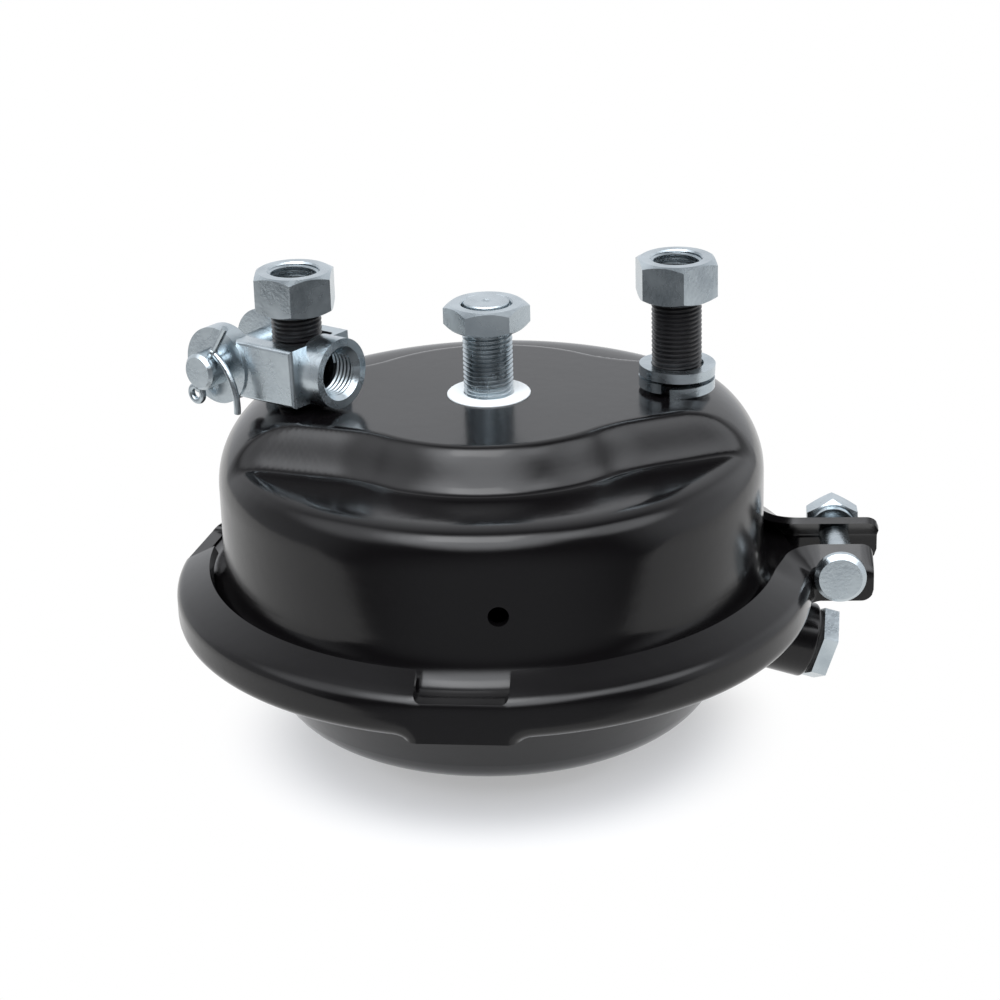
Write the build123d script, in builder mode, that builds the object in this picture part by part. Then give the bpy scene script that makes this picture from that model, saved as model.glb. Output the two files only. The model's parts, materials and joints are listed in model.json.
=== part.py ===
from build123d import *
import math
import os

# Air brake chamber, single diaphragm, thirty square inch class.
# Millimetres. Origin: centre of the mounting face, on the push rod's axis.
# +Z leaves the mounting face, the way the push rod travels. Studs lie on X.

os.makedirs("parts", exist_ok=True)

# ---------------------------------------------------------------- sizes
# Standing clearances between pieces
slip = 0.05             # radial, threads and turning fits
seat_gap = 0.25         # between formed sheets that nest
loose = 0.4             # radial, loose washers on a stud

# Thread sizes: every interface thread is M16 x 1.5
thread_r = 8.0          # major radius
thread_core_r = 7.2     # tapped hole
thread_lead = 1.0       # chamfer at a thread's end

# Non-pressure housing: a pressed steel dome
dome_r = 88.0
dome_shoulder_r = 26.0
dome_wall = 3.0
flange_width = 11.7     # rim beyond the dome's wall
flange_bend = 4.0
flange_top = -61.5      # upper side of the housing's rim
land_inset = 31.5       # foot of the raised land's slope, in from the dome's wall
land_blend = 42.0       # hollow bend from the round land into the wing
land_turn = 40.0        # degrees of land on each side of the middle
wing_slope = 20.0       # degrees, edge of the wing to X
land_draft = 22.0       # degrees off upright
front_step = 13.0       # depth of the front ledge
rear_step = 7.5         # depth of the rear ledge
land_edge_r = 6.0
land_foot_r = 4.0
vent_r = 3.2
vent_z = -39.0

# Diaphragm
rubber = 3.0
rim_rubber = 2.5
diaphragm_floor_inset = 28.0  # flat floor, in from the dome's wall

# Pressure cover
cover_wall = 3.0
cover_mouth_inset = 1.0  # outside just under its rim, in from the dome's wall
cover_lean = 28.0       # degrees, side wall off upright
cover_shoulder_r = 18.0
cover_floor = -106.0    # outside of the ring-shaped floor
pad_r = 34.0            # flat pad that the chamber stands on
pad_drop = 14.0
pad_run = 11.0          # width of the slope down to the pad

# Clamp band
band_slack = 1.5        # between the rims' edge and the band's inside
band_wall = 2.8
band_top_lean = 28.0    # degrees, upper leg off level
band_low_lean = 24.0
band_mouth = 5.0        # lip of the upper leg, clear of the dome's wall
band_low_leg = 4.7      # reach of the lower leg, in from the band's outside
band_bend = 5.0
notch_length = 28.5
notch_turns = (-96.8, 164.5, 66.0)
notch_wall_height = 12.9
notch_top = -60.8       # upper edge of the wall left at a notch
lug_turn = -4.0         # degrees, clamping plane to X
lug_shift = 3.4         # middle of the gap off X, at the bolt
lug_flare = 7.0         # degrees of band over which its legs start to unfold
lug_gap = 31.0
lug_height = 19.0
lug_z = -61.0
lug_bend = 4.5
lug_corner = 4.0
lug_low_corner = 1.5
lug_stations = 8        # sections that carry the V into the flat lug
near_lug_reach = 11.0   # beyond the bolt's axis
far_lug_reach = 14.5
bolt_stand = 9.2        # bolt's axis beyond the band's outside
bolt_r = 5.0
bolt_head_r = 8.4
bolt_head = 4.6
bolt_head_rim = 1.4
bolt_head_under = 1.2   # chamfer on the seat side, clear of the lug's bend
bolt_tail = 16.0
clamp_nut_across = 17.0
clamp_nut_hex = 8.0
clamp_nut_collar = 3.2
clamp_nut_collar_r = 7.8

# Push rod, plate and bush
rod_r = 8.0
rod_end = 31.1
rod_dimple_r = 1.6
plate_margin = 5.0      # diaphragm's flat floor beyond the plate's edge
plate_thick = 4.0
plate_rim = 5.0
plate_hub_r = 13.0
plate_hub = 8.0
bush_r = 13.4
bush_lip_r = 17.0
bush_lip = 2.5
bush_proud = 0.6
jam_nut_across = 24.0
jam_nut_thick = 8.0
jam_nut_end = 0.6       # rod end beyond the nut
stroke = 64.0

# Studs, their plate and nuts
stud_spread = 120.7
stud_end = 37.0
stud_head_r = 12.0
stud_head = 5.0
stud_plate_thick = 6.0
stud_plate_width = 44.0
stud_plate_length = 152.0
nut_across = 24.0
nut_thick = 13.0
nut_seat = 30.4         # underside of both stud nuts
left_nut_turn = -3.0
right_nut_turn = 5.0
jam_nut_turn = 30.0
nut_chamfer = 30.0      # degrees

# Spring washers
washer_r = 12.2
washer_thick = 3.2
washer_cut = 2.4        # width of the slot
washer_rise = 1.5       # end beyond the slot stands this much higher
lower_cut_turn = -112.0
upper_cut_turn = 60.0
upper_tilt = 3.0
washer_nest = 0.5       # the tilted washer hangs this far below the lower one's raised end

# Return spring
spring_wire_r = 2.2
spring_seat = 11.0      # foot's middle line, in from the plate's edge
spring_turns = 4.0
spring_cone = 8.0       # degrees, narrowing towards the roof

# Yoke
yoke_turn = -40.0       # degrees, boss direction to X
yoke_tilt = 1.5
yoke_height = 11.9      # its axis over the mounting face, at the stud
yoke_gap = 16.8
yoke_arm = 5.5
yoke_arm_height = 19.0
yoke_shoulder = 10.0    # stud axis to the shoulder
yoke_crotch = 8.4       # stud axis to the bottom of the fork
yoke_boss_end = 18.4
yoke_boss_r = 11.3
yoke_pin_back = 22.5    # stud axis to the pin
yoke_eye_r = 12.6
yoke_eye_raise = 0.8    # eye faces stand proud of the arms
yoke_edge = 1.2
yoke_crotch_bend = 1.2
yoke_mouth = 1.5        # countersink at the thread
pin_r = 6.0
pin_near = 23.3         # pin end beyond the yoke's middle plane
pin_far = 17.5
pin_head_r = 8.2
pin_head = 3.0
pin_chamfer = 1.0
cotter_place = 19.0     # cotter hole from the yoke's middle plane
cotter_wire_r = 1.1
cotter_eye_r = 3.6
cotter_neck = 0.8        # between the pin and the eye
cotter_hole_r = 1.5
cotter_knot_r = 1.6      # swelling where the legs part and where they join the eye
straight_leg = 11.0
bent_leg = 17.0         # reach of the leg bent round the pin
cotter_turn = 30.0      # degrees, cotter hole off upright towards the boss

# Ports
port_boss_r = 12.6
port_sink = 12.5        # start of a boss inside the cover's mouth, before it is cut to the cone
port_tilt = 19.0        # degrees below level
port_stand = 17.5       # end face centre beyond the cover's mouth
port_z = -92.8
port_thread_depth = 14.0
port_bore_r = 5.0
port_edge = 1.2
plug_turn_deg = 2.0     # plugged port's direction to X
supply_turn_deg = 90.0
plug_across = 22.0
plug_head = 5.0
plug_shank_r = 7.1
plug_shank = 10.0
seal_r = 10.8
seal_thick = 1.5

# ---------------------------------------------------------------- derived
flange_r = dome_r + flange_width
land_r = dome_r - land_inset
cover_mouth_r = dome_r - cover_mouth_inset
diaphragm_floor_r = dome_r - diaphragm_floor_inset
plate_r = diaphragm_floor_r - plate_margin
band_r = flange_r + band_slack + band_wall
band_mouth_r = dome_r + band_mouth
band_low_r = band_r - band_low_leg
bolt_x = band_r + bolt_stand
port_reach = cover_mouth_r + port_stand
port_boss_length = port_stand + port_sink
spring_foot_r = plate_r - spring_seat
stud_x = stud_spread / 2
roof = -dome_wall
flange_face = flange_top - dome_wall
cover_rim_top = flange_face - rim_rubber
cover_rim_low = cover_rim_top - cover_wall
cover_base = cover_floor - pad_drop


def save(piece, label):
    piece.part.label = label
    export_step(piece.part, f"parts/{label}.step")


# ------------------------------------------------- non-pressure housing
flat_r = dome_r - dome_shoulder_r


def beyond_land(side, inset):
    """Plan of a ledge: what lies beyond the land's edge on one side of the studs."""
    turn = math.radians(land_turn)
    slope = math.radians(wing_slope)
    half = (turn + slope) / 2
    round_r = land_r - inset
    hollow_r = land_blend + inset
    far = 2 * band_r
    start = (round_r * math.sin(turn), round_r * math.cos(turn))
    centre = (start[0] + hollow_r * math.sin(turn), start[1] + hollow_r * math.cos(turn))
    mid = (centre[0] - hollow_r * math.sin(half), centre[1] - hollow_r * math.cos(half))
    end = (centre[0] - hollow_r * math.sin(slope), centre[1] - hollow_r * math.cos(slope))
    tip = (far, end[1] - (far - end[0]) * math.tan(slope))
    with BuildSketch(mode=Mode.PRIVATE) as region:
        with BuildLine():
            ThreePointArc((-start[0], side * start[1]), (0, side * round_r), (start[0], side * start[1]))
            for x in (-1, 1):
                ThreePointArc(*[(x * p[0], side * p[1]) for p in (start, mid, end)])
                Line((x * end[0], side * end[1]), (x * tip[0], side * tip[1]))
                Line((x * tip[0], side * tip[1]), (x * far, side * far))
            Line((-far, side * far), (far, side * far))
        make_face()
    return region.sketch


def dome_form(inset):
    """The pressed dome's outer form, or the same form a given depth inside it."""
    low = flange_face - 1
    with BuildPart() as form:
        with BuildSketch(Plane.XZ):
            with BuildLine():
                Polyline((0, -inset), (0, low), (dome_r - inset, low), (dome_r - inset, -dome_shoulder_r))
                CenterArc((flat_r, -dome_shoulder_r), dome_shoulder_r - inset, 0, 90)
                Line((flat_r, -inset), (0, -inset))
            make_face()
        revolve(axis=Axis.Z)
        for side, step in ((-1, front_step), (1, rear_step)):
            with BuildSketch(Plane.XY.offset(-step - inset)):
                add(beyond_land(side, inset))
            extrude(amount=step + 2, taper=-land_draft, mode=Mode.SUBTRACT)
    return form.part


def on_level(edge, z):
    """True for an edge that lies in the plane at height z."""
    return all(abs((edge @ t).Z - z) < 0.01 for t in (0, 0.5, 1))


def middle_r(edge):
    """Distance of an edge's middle from the rod's axis."""
    middle = edge @ 0.5
    return math.hypot(middle.X, middle.Y)


dome_inside = dome_form(dome_wall)
with BuildPart() as nonpressure_housing:
    add(dome_form(0))
    for step in (front_step, rear_step):
        foot = [e for e in nonpressure_housing.edges() if on_level(e, -step) and middle_r(e) < land_r + 15]
        fillet(foot, land_foot_r)
    land = [
        e
        for e in nonpressure_housing.edges()
        if on_level(e, 0) and abs(middle_r(e) - flat_r) > 0.05
    ]
    fillet(land, land_edge_r)
    # rim turned out to carry the clamp band
    with BuildSketch(Plane.XZ):
        with BuildLine():
            Polyline(
                (dome_r - dome_wall, flange_face - 1),
                (dome_r - dome_wall, flange_top + flange_bend),
                (dome_r, flange_top + flange_bend),
            )
            CenterArc((dome_r + flange_bend, flange_top + flange_bend), flange_bend, 180, 90)
            Polyline(
                (dome_r + flange_bend, flange_top),
                (flange_r, flange_top),
                (flange_r, flange_face - 1),
                (dome_r - dome_wall, flange_face - 1),
            )
        make_face()
    revolve(axis=Axis.Z)
    add(dome_inside, mode=Mode.SUBTRACT)
    split(bisect_by=Plane.XY.offset(flange_face), keep=Keep.TOP)
    with Locations((0, 0, 0)):
        Hole(bush_r + slip)
    with Locations((stud_x, 0, 0), (-stud_x, 0, 0)):
        Hole(thread_r + slip)
    # breather holes, front and rear
    with Locations(Plane((0, 0, vent_z), z_dir=(0, -1, 0))):
        Cylinder(vent_r, 2 * band_r, mode=Mode.SUBTRACT)
save(nonpressure_housing, "nonpressure_housing")

# plate inside the roof that carries the studs, pressed to the roof's shape
with BuildPart() as stud_plate:
    add(dome_form(dome_wall + slip))
    with BuildSketch(Plane.XY.offset(roof - stud_plate_thick)):
        SlotOverall(stud_plate_length, stud_plate_width)
    extrude(amount=stud_plate_thick, mode=Mode.INTERSECT)
    with Locations((0, 0, 0)):
        Hole(bush_r + slip)
    with Locations((stud_x, 0, 0), (-stud_x, 0, 0)):
        Hole(thread_r + slip)
save(stud_plate, "stud_plate")

for side, label in ((-1, "mounting_stud_left"), (1, "mounting_stud_right")):
    with BuildPart() as stud:
        with Locations((side * stud_x, 0, roof - stud_plate_thick - stud_head)):
            Cylinder(stud_head_r, stud_head, align=(Align.CENTER, Align.CENTER, Align.MIN))
            Cylinder(
                thread_r,
                stud_end - roof + stud_plate_thick + stud_head,
                align=(Align.CENTER, Align.CENTER, Align.MIN),
            )
        chamfer(stud.edges().group_by(Axis.Z)[-1], thread_lead)
        chamfer(stud.edges().group_by(Axis.Z)[0], thread_lead)
    save(stud, label)

# nylon bush that guides the rod, snapped in from inside
bush_low = roof - stud_plate_thick - bush_lip
with BuildPart() as rod_bush:
    with BuildSketch(Plane.XZ):
        with BuildLine():
            Polyline(
                (rod_r + slip, bush_low),
                (bush_lip_r, bush_low),
                (bush_lip_r, bush_low + bush_lip - slip),
                (bush_r, bush_low + bush_lip - slip),
                (bush_r, bush_proud),
                (rod_r + slip, bush_proud),
                close=True,
            )
        make_face()
    revolve(axis=Axis.Z)
    chamfer(rod_bush.edges().group_by(Axis.Z)[-1].sort_by(SortBy.LENGTH)[-1], bush_proud / 2)
save(rod_bush, "rod_bush")

# ------------------------------------------------------ pressure cover
lean = math.radians(cover_lean)


def cover_section(inset):
    """Half outline of the cover from its mouth to the middle of its pad, without its rim."""
    floor = cover_floor + inset
    base = cover_base + inset
    foot_r = cover_mouth_r - (cover_rim_low - cover_floor) * math.tan(lean)
    shift = inset / math.cos(lean)
    mouth = (cover_mouth_r - shift, cover_rim_low)
    corner = (foot_r - shift + inset * math.tan(lean), floor)
    slope_top = (pad_r + pad_run, floor)
    return [mouth, corner, slope_top, (pad_r, base)], floor, base


def cover_form(inset, top):
    """Solid of the cover's outer form, or of its inside at a sheet's thickness."""
    points, floor, base = cover_section(inset)
    rise = (points[0][0] + (top - cover_rim_low) * math.tan(lean), top)
    with BuildPart(mode=Mode.PRIVATE) as form:
        with BuildSketch(Plane.XZ):
            with BuildLine():
                FilletPolyline(
                    rise, *points[1:], (0, base), radius=[cover_shoulder_r - inset, 6, 6]
                )
                Polyline((0, base), (0, top), rise)
            make_face()
        revolve(axis=Axis.Z)
    return form.part


cover_outside = cover_form(0, cover_rim_top)
cover_inside = cover_form(cover_wall, cover_rim_top + 1)


def port_plane(turn, tilt=port_tilt):
    """Plane on a port's end face, facing out along its bore."""
    a, t = math.radians(turn), math.radians(tilt)
    out = (math.cos(a) * math.cos(t), math.sin(a) * math.cos(t), -math.sin(t))
    spot = (port_reach * math.cos(a), port_reach * math.sin(a), port_z)
    return Plane(spot, z_dir=out)


with BuildPart() as pressure_cover:
    add(cover_outside)
    with BuildSketch(Plane.XY.offset(cover_rim_low)):
        Circle(flange_r)
    extrude(amount=cover_wall)
    add(cover_inside, mode=Mode.SUBTRACT)
    for turn in (plug_turn_deg, supply_turn_deg):
        with Locations(port_plane(turn)):
            Cylinder(port_bore_r, band_r, mode=Mode.SUBTRACT)
save(pressure_cover, "pressure_cover")

for turn, label in ((plug_turn_deg, "plugged_port_boss"), (supply_turn_deg, "supply_port_boss")):
    with BuildPart() as port_boss:
        with Locations(port_plane(turn)):
            Cylinder(port_boss_r, port_boss_length, align=(Align.CENTER, Align.CENTER, Align.MAX))
        fillet(port_boss.edges().group_by(Axis.X if turn < 45 else Axis.Y)[-1], port_edge)
        with Locations(port_plane(turn)):
            Cylinder(
                thread_core_r,
                port_thread_depth,
                align=(Align.CENTER, Align.CENTER, Align.MAX),
                mode=Mode.SUBTRACT,
            )
            Cylinder(port_bore_r, 2 * band_r, mode=Mode.SUBTRACT)
        add(cover_outside, mode=Mode.SUBTRACT)
    save(port_boss, label)

with BuildPart() as port_plug:
    head = port_plane(plug_turn_deg).offset(seal_thick)
    with BuildSketch(head):
        RegularPolygon(plug_across / 2, 6, major_radius=False)
    extrude(amount=plug_head)
    with BuildSketch(head):
        Circle(plug_shank_r)
    extrude(amount=-plug_shank)
save(port_plug, "port_plug")

with BuildPart() as plug_seal:
    with BuildSketch(port_plane(plug_turn_deg)):
        Circle(seal_r)
        Circle(plug_shank_r + slip, mode=Mode.SUBTRACT)
    extrude(amount=seal_thick)
save(plug_seal, "plug_seal")

# ------------------------------------------------------ diaphragm and spring
with BuildPart() as diaphragm:
    add(cover_form(cover_wall + seat_gap, cover_rim_top))
    with BuildSketch(Plane.XY.offset(cover_rim_top)):
        Circle(flange_r - seat_gap)
    extrude(amount=rim_rubber)
    split(bisect_by=Plane.XY.offset(cover_floor + cover_wall + seat_gap), keep=Keep.TOP)
    add(cover_form(cover_wall + seat_gap + rubber, flange_face + 1), mode=Mode.SUBTRACT)
    with BuildSketch(Plane.XY.offset(cover_floor + cover_wall + seat_gap)):
        Circle(diaphragm_floor_r)
    extrude(amount=rubber)
save(diaphragm, "diaphragm")

diaphragm_top = cover_floor + cover_wall + seat_gap + rubber
plate_low = diaphragm_top + seat_gap
plate_top = plate_low + plate_thick

# ------------------------------------------------------ push rod assembly
with BuildPart() as push_plate:
    with BuildSketch(Plane.XZ):
        with BuildLine():
            FilletPolyline(
                (0, plate_low),
                (plate_r, plate_low),
                (plate_r, plate_top + plate_rim),
                radius=plate_thick,
            )
            Polyline(
                (plate_r, plate_top + plate_rim),
                (plate_r - plate_thick, plate_top + plate_rim),
                (plate_r - plate_thick, plate_top),
                (plate_hub_r, plate_top),
                (plate_hub_r, plate_top + plate_hub),
                (rod_r + slip, plate_top + plate_hub),
                (rod_r + slip, plate_top),
                (0, plate_top),
                (0, plate_low),
            )
        make_face()
    revolve(axis=Axis.Z)
    fillet(push_plate.edges().group_by(Axis.Z)[-2], plate_thick / 4)
save(push_plate, "push_plate")

with BuildPart() as push_rod:
    with Locations((0, 0, plate_top)):
        Cylinder(rod_r, rod_end - plate_top, align=(Align.CENTER, Align.CENTER, Align.MIN))
    chamfer(push_rod.edges().group_by(Axis.Z)[-1], thread_lead)
    with Locations((0, 0, rod_end)):
        Cone(rod_dimple_r / 8, rod_dimple_r, rod_dimple_r, mode=Mode.SUBTRACT,
             align=(Align.CENTER, Align.CENTER, Align.MAX))
save(push_rod, "push_rod")


def hex_nut(spot, turn, across, thick, bore_r):
    """Hexagon nut standing on spot, its corners turned down at both ends."""
    corner_r = across / math.sqrt(3)
    face_r = across / 2 * 0.95
    with BuildPart(mode=Mode.PRIVATE) as nut:
        with BuildSketch(Plane.XY):
            RegularPolygon(across / 2, 6, major_radius=False, rotation=30 + turn)
            Circle(bore_r, mode=Mode.SUBTRACT)
        extrude(amount=thick)
        fall = (corner_r - face_r) * math.tan(math.radians(nut_chamfer))
        with BuildSketch(Plane.XZ):
            with BuildLine():
                Polyline(
                    (0, 0),
                    (face_r, 0),
                    (corner_r, fall),
                    (corner_r, thick - fall),
                    (face_r, thick),
                    (0, thick),
                    close=True,
                )
            make_face()
        revolve(axis=Axis.Z, mode=Mode.INTERSECT)
        chamfer(nut.edges().filter_by(GeomType.CIRCLE).filter_by(lambda e: e.radius < bore_r + 0.01),
                thread_lead / 2)
    return nut.part.moved(Location(spot))


for label, spot, turn, across, thick in (
    ("stud_nut_left", (-stud_x, 0, nut_seat), left_nut_turn, nut_across, nut_thick),
    ("stud_nut_right", (stud_x, 0, nut_seat), right_nut_turn, nut_across, nut_thick),
    ("rod_lock_nut", (0, 0, rod_end - jam_nut_end - jam_nut_thick), jam_nut_turn, jam_nut_across,
     jam_nut_thick),
):
    with BuildPart() as nut:
        add(hex_nut(spot, turn, across, thick, thread_r + slip))
    save(nut, label)

# return spring between the plate and the stud plate, its wire as a hexagon
spring_low = plate_top + spring_wire_r + seat_gap
spring_high = roof - stud_plate_thick - spring_wire_r - seat_gap
with BuildPart() as return_spring:
    with BuildLine():
        coil = Helix(
            pitch=(spring_high - spring_low) / spring_turns,
            height=spring_high - spring_low,
            radius=spring_foot_r,
            center=(0, 0, spring_low),
            cone_angle=-spring_cone,
        )
    with BuildSketch(Plane(coil @ 0, z_dir=coil % 0)):
        RegularPolygon(spring_wire_r, 6)
    sweep(is_frenet=True)
save(return_spring, "return_spring")


def spring_washer(label, cut_turn, low, tilt):
    """Split spring washer: a square-wire turn with one end raised beside the cut."""
    inner_r = thread_r + loose
    mean_r = (inner_r + washer_r) / 2
    half_cut = math.degrees(washer_cut / 2 / mean_r)
    sweep_turn = 360 - 2 * half_cut
    pitch = washer_rise * 360 / sweep_turn
    with BuildPart() as washer:
        with BuildLine():
            turn = Helix(pitch=pitch, height=washer_rise, radius=mean_r)
        with BuildSketch(Plane(turn @ 0, x_dir=(1, 0, 0), z_dir=turn % 0)):
            Rectangle(washer_r - inner_r, washer_thick)
        sweep(is_frenet=True)
    place = Location((stud_x, 0, low), (0, tilt, 0)) * Location(
        (0, 0, washer_thick / 2), (0, 0, cut_turn + half_cut)
    )
    with BuildPart() as placed:
        add(washer.part.moved(place))
    save(placed, label)
    return placed


lower_washer = spring_washer("spring_washer_lower", lower_cut_turn, 0, 0)
upper_low = lower_washer.part.bounding_box().max.Z - washer_nest
upper_washer = spring_washer("spring_washer_upper", upper_cut_turn, upper_low, upper_tilt)

# ------------------------------------------------------ clamp band
spine_r = band_r - band_wall / 2
notch_half = math.degrees(math.asin(notch_length / 2 / band_r))


def leg_points(side, rim_z, lean_deg, lip_r):
    """Lip and corner of one leg of the band's section, outer line then inner line."""
    tilt = math.radians(lean_deg)

    def on_line(r, out):
        return (r, rim_z + side * (out - (r - flange_r) * math.sin(tilt)) / math.cos(tilt))

    lip = on_line(lip_r, seat_gap + band_wall)
    inner_lip = (lip_r - band_wall * math.sin(tilt), lip[1] - side * band_wall * math.cos(tilt))
    return [lip, on_line(band_r, seat_gap + band_wall)], [inner_lip, on_line(band_r - band_wall, seat_gap)]


def with_bends(line, bend):
    """Four points of a leg, wall and leg line, its corners widened to bend controls."""
    lip_a, corner_a, corner_b, lip_b = [Vector(*p) for p in line]
    points = [lip_a]
    for before, corner, after in ((lip_a, corner_a, corner_b), (corner_a, corner_b, lip_b)):
        one, two = (before - corner).normalized(), (after - corner).normalized()
        run = bend / math.tan(math.radians(one.get_angle(two)) / 2)
        points += [corner + one * run, corner, corner + two * run]
    return points + [lip_b]


def flattened(points, depth):
    """The same points laid along the lug's face at a depth from its middle."""
    steps = [0.0]
    for a, b in zip(points, points[1:]):
        steps.append(steps[-1] + (b - a).length)
    top = lug_z + lug_height / 2
    return [Vector(depth, top - lug_height * s / steps[-1]) for s in steps]


up_out, up_in = leg_points(1, flange_top, band_top_lean, band_mouth_r)
low_out, low_in = leg_points(-1, cover_rim_low, band_low_lean, band_low_r)
vee_out = with_bends(up_out + low_out[::-1], band_bend)
vee_in = with_bends(up_in + low_in[::-1], band_bend - band_wall)
vee = [p - Vector(spine_r, 0) for p in vee_out + vee_in[::-1]]
flat = flattened(vee_out, band_wall / 2) + flattened(vee_in, -band_wall / 2)[::-1]


def eased(share):
    """A share of 0 to 1 that starts and ends gently."""
    share = min(max(share, 0), 1)
    return share * share * (3 - 2 * share)


def band_section(plane, share):
    """Section of the band on a plane through its spine: share 0 is the V, 1 the flat lug."""
    # the lower leg opens only after the band has left the rims
    shares = [eased(share)] * 4 + [eased(2 * share - 1)] * 8 + [eased(share)] * 4
    p = [a + (b - a) * k for a, b, k in zip(vee, flat, shares)]
    with BuildSketch(plane, mode=Mode.PRIVATE) as section:
        with BuildLine():
            for side in (p[:8], p[8:]):
                Line(side[0], side[1])
                Bezier(*side[1:4])
                Line(side[3], side[4])
                Bezier(*side[4:7])
                Line(side[6], side[7])
            Line(p[7], p[8])
            Line(p[15], p[0])
        make_face()
    return section.sketch


# the two lugs: in a frame turned with the bolt, each bends outward off the band
lug_dir = math.radians(lug_turn)
across_dir = Vector(-math.sin(lug_dir), math.cos(lug_dir))
out_dir = Vector(math.cos(lug_dir), math.sin(lug_dir))
bolt_out = out_dir.dot(Vector(bolt_x, lug_shift))
bolt_across = across_dir.dot(Vector(bolt_x, lug_shift))


across_axis = Axis((0, 0, 0), across_dir)
bolt_plane = Plane((bolt_x, lug_shift, lug_z), x_dir=out_dir, z_dir=across_dir)


def lug_frame(side):
    """Bend centre of one lug, and the band's turn where its bend starts, in the bolt's frame."""
    plate = bolt_across + side * (lug_gap + band_wall) / 2
    centre_across = plate + side * lug_bend
    reach = math.sqrt((spine_r + lug_bend) ** 2 - centre_across**2)
    return plate, reach, math.atan2(centre_across, reach)


def section_plane(spot, out, turn=0.0):
    """Upright plane across the band at spot, its x facing out, turned about the rod's axis."""
    spot, out = spot.rotate(Axis.Z, turn), out.rotate(Axis.Z, turn)
    return Plane(spot, x_dir=out, z_dir=(out.Y, -out.X, 0))


def lug_station(side, run):
    """Plane across the band: run below 0 is on the band's round, above 0 on the lug's bend."""
    start = lug_frame(side)[2]
    tangent = Vector(math.cos(start), math.sin(start))
    if run <= 0:
        out = tangent.rotate(Axis.Z, -side * math.degrees(run / spine_r))
        return section_plane(out * spine_r, out, lug_turn)
    # on the bend the band's outward side faces the bend's centre
    out = tangent.rotate(Axis.Z, side * math.degrees(run / lug_bend))
    return section_plane(tangent * (spine_r + lug_bend) - out * lug_bend, out, lug_turn)


near_start = math.degrees(lug_frame(-1)[2]) + lug_turn - lug_flare
far_start = math.degrees(lug_frame(1)[2]) + lug_turn + lug_flare
with BuildPart() as clamp_band:
    for side, reach in ((-1, near_lug_reach), (1, far_lug_reach)):
        flare = math.radians(lug_flare) * spine_r
        start = lug_frame(side)[2]
        bend_run = lug_bend * (math.pi / 2 - side * start)
        sections = []
        for step in range(lug_stations + 1):
            share = step / lug_stations
            run = (2 * share - 1) * (flare if share < 0.5 else bend_run)
            sections.append(band_section(lug_station(side, run), share))
        loft(sections)
        # flat lug beyond the bend
        extrude(sections[-1], amount=side * (bolt_out + reach - lug_frame(side)[1]))
    # round part, from the far lug the long way to the near one
    first = Vector(math.cos(math.radians(far_start)), math.sin(math.radians(far_start)))
    round_section = band_section(section_plane(first * spine_r, first), 0)
    revolve(round_section, axis=Axis.Z, revolution_arc=360 - far_start + near_start)
    for turn in notch_turns:
        # both legs cut away, the wall left as a flat strip
        a, b = [math.radians(turn + s * notch_half) for s in (-1, 1)]
        with BuildSketch(Plane.XY.offset(lug_z - band_r)):
            with BuildLine():
                far = 2 * band_r
                Polyline(
                    (0, 0),
                    (far * math.cos(a), far * math.sin(a)),
                    (far * math.cos(b), far * math.sin(b)),
                    close=True,
                )
            make_face()
        extrude(amount=2 * band_r, mode=Mode.SUBTRACT)
    for turn in notch_turns:
        apothem = band_r * math.cos(math.radians(notch_half))
        with BuildSketch(Plane.XY.offset(notch_top - notch_wall_height)):
            with BuildLine():
                half_out = apothem * math.tan(math.radians(notch_half))
                half_in = (apothem - band_wall) * math.tan(math.radians(notch_half))
                corners = [
                    (apothem, -half_out),
                    (apothem, half_out),
                    (apothem - band_wall, half_in),
                    (apothem - band_wall, -half_in),
                ]
                Polyline(*[Vector(*p).rotate(Axis.Z, turn) for p in corners], close=True)
            make_face()
        extrude(amount=notch_wall_height)
    tips = clamp_band.edges().filter_by(across_axis).filter_by(lambda e: e.length < band_wall + 0.1)
    tips = tips.filter_by(lambda e: (e @ 0.5).dot(out_dir) > bolt_out)
    fillet(tips.group_by(Axis.Z)[-1], lug_corner)
    fillet(tips.group_by(Axis.Z)[0], lug_low_corner)
    with Locations(bolt_plane):
        Cylinder(bolt_r + slip, 4 * lug_gap, mode=Mode.SUBTRACT)
save(clamp_band, "clamp_band")

with BuildPart() as clamp_bolt:
    seat = bolt_plane.offset(-lug_gap / 2 - band_wall)
    with Locations(seat):
        Cylinder(bolt_head_r, bolt_head, align=(Align.CENTER, Align.CENTER, Align.MAX))
    chamfer(clamp_bolt.edges().sort_by(across_axis)[0], bolt_head_rim)
    chamfer(clamp_bolt.edges().sort_by(across_axis)[-1], bolt_head_under)
    with Locations(seat):
        Cylinder(
            bolt_r,
            lug_gap + 2 * band_wall + bolt_tail,
            align=(Align.CENTER, Align.CENTER, Align.MIN),
        )
    chamfer(clamp_bolt.edges().sort_by(across_axis)[-1], thread_lead)
save(clamp_bolt, "clamp_bolt")

with BuildPart() as clamp_nut:
    seat = bolt_plane.offset(lug_gap / 2 + band_wall)
    with BuildSketch(seat):
        Circle(clamp_nut_collar_r)
        Circle(bolt_r + slip, mode=Mode.SUBTRACT)
    extrude(amount=clamp_nut_collar)
    hexagon = hex_nut((0, 0, 0), 0, clamp_nut_across, clamp_nut_hex, bolt_r + slip)
    add(seat.offset(clamp_nut_collar).location * hexagon)
save(clamp_nut, "clamp_nut")

# ------------------------------------------------------ yoke, its pin and cotter
yoke_axis = Vector(1, 0, 0).rotate(Axis.Y, -yoke_tilt).rotate(Axis.Z, yoke_turn)
yoke_near = Vector(0, -1, 0).rotate(Axis.Z, yoke_turn)
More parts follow.
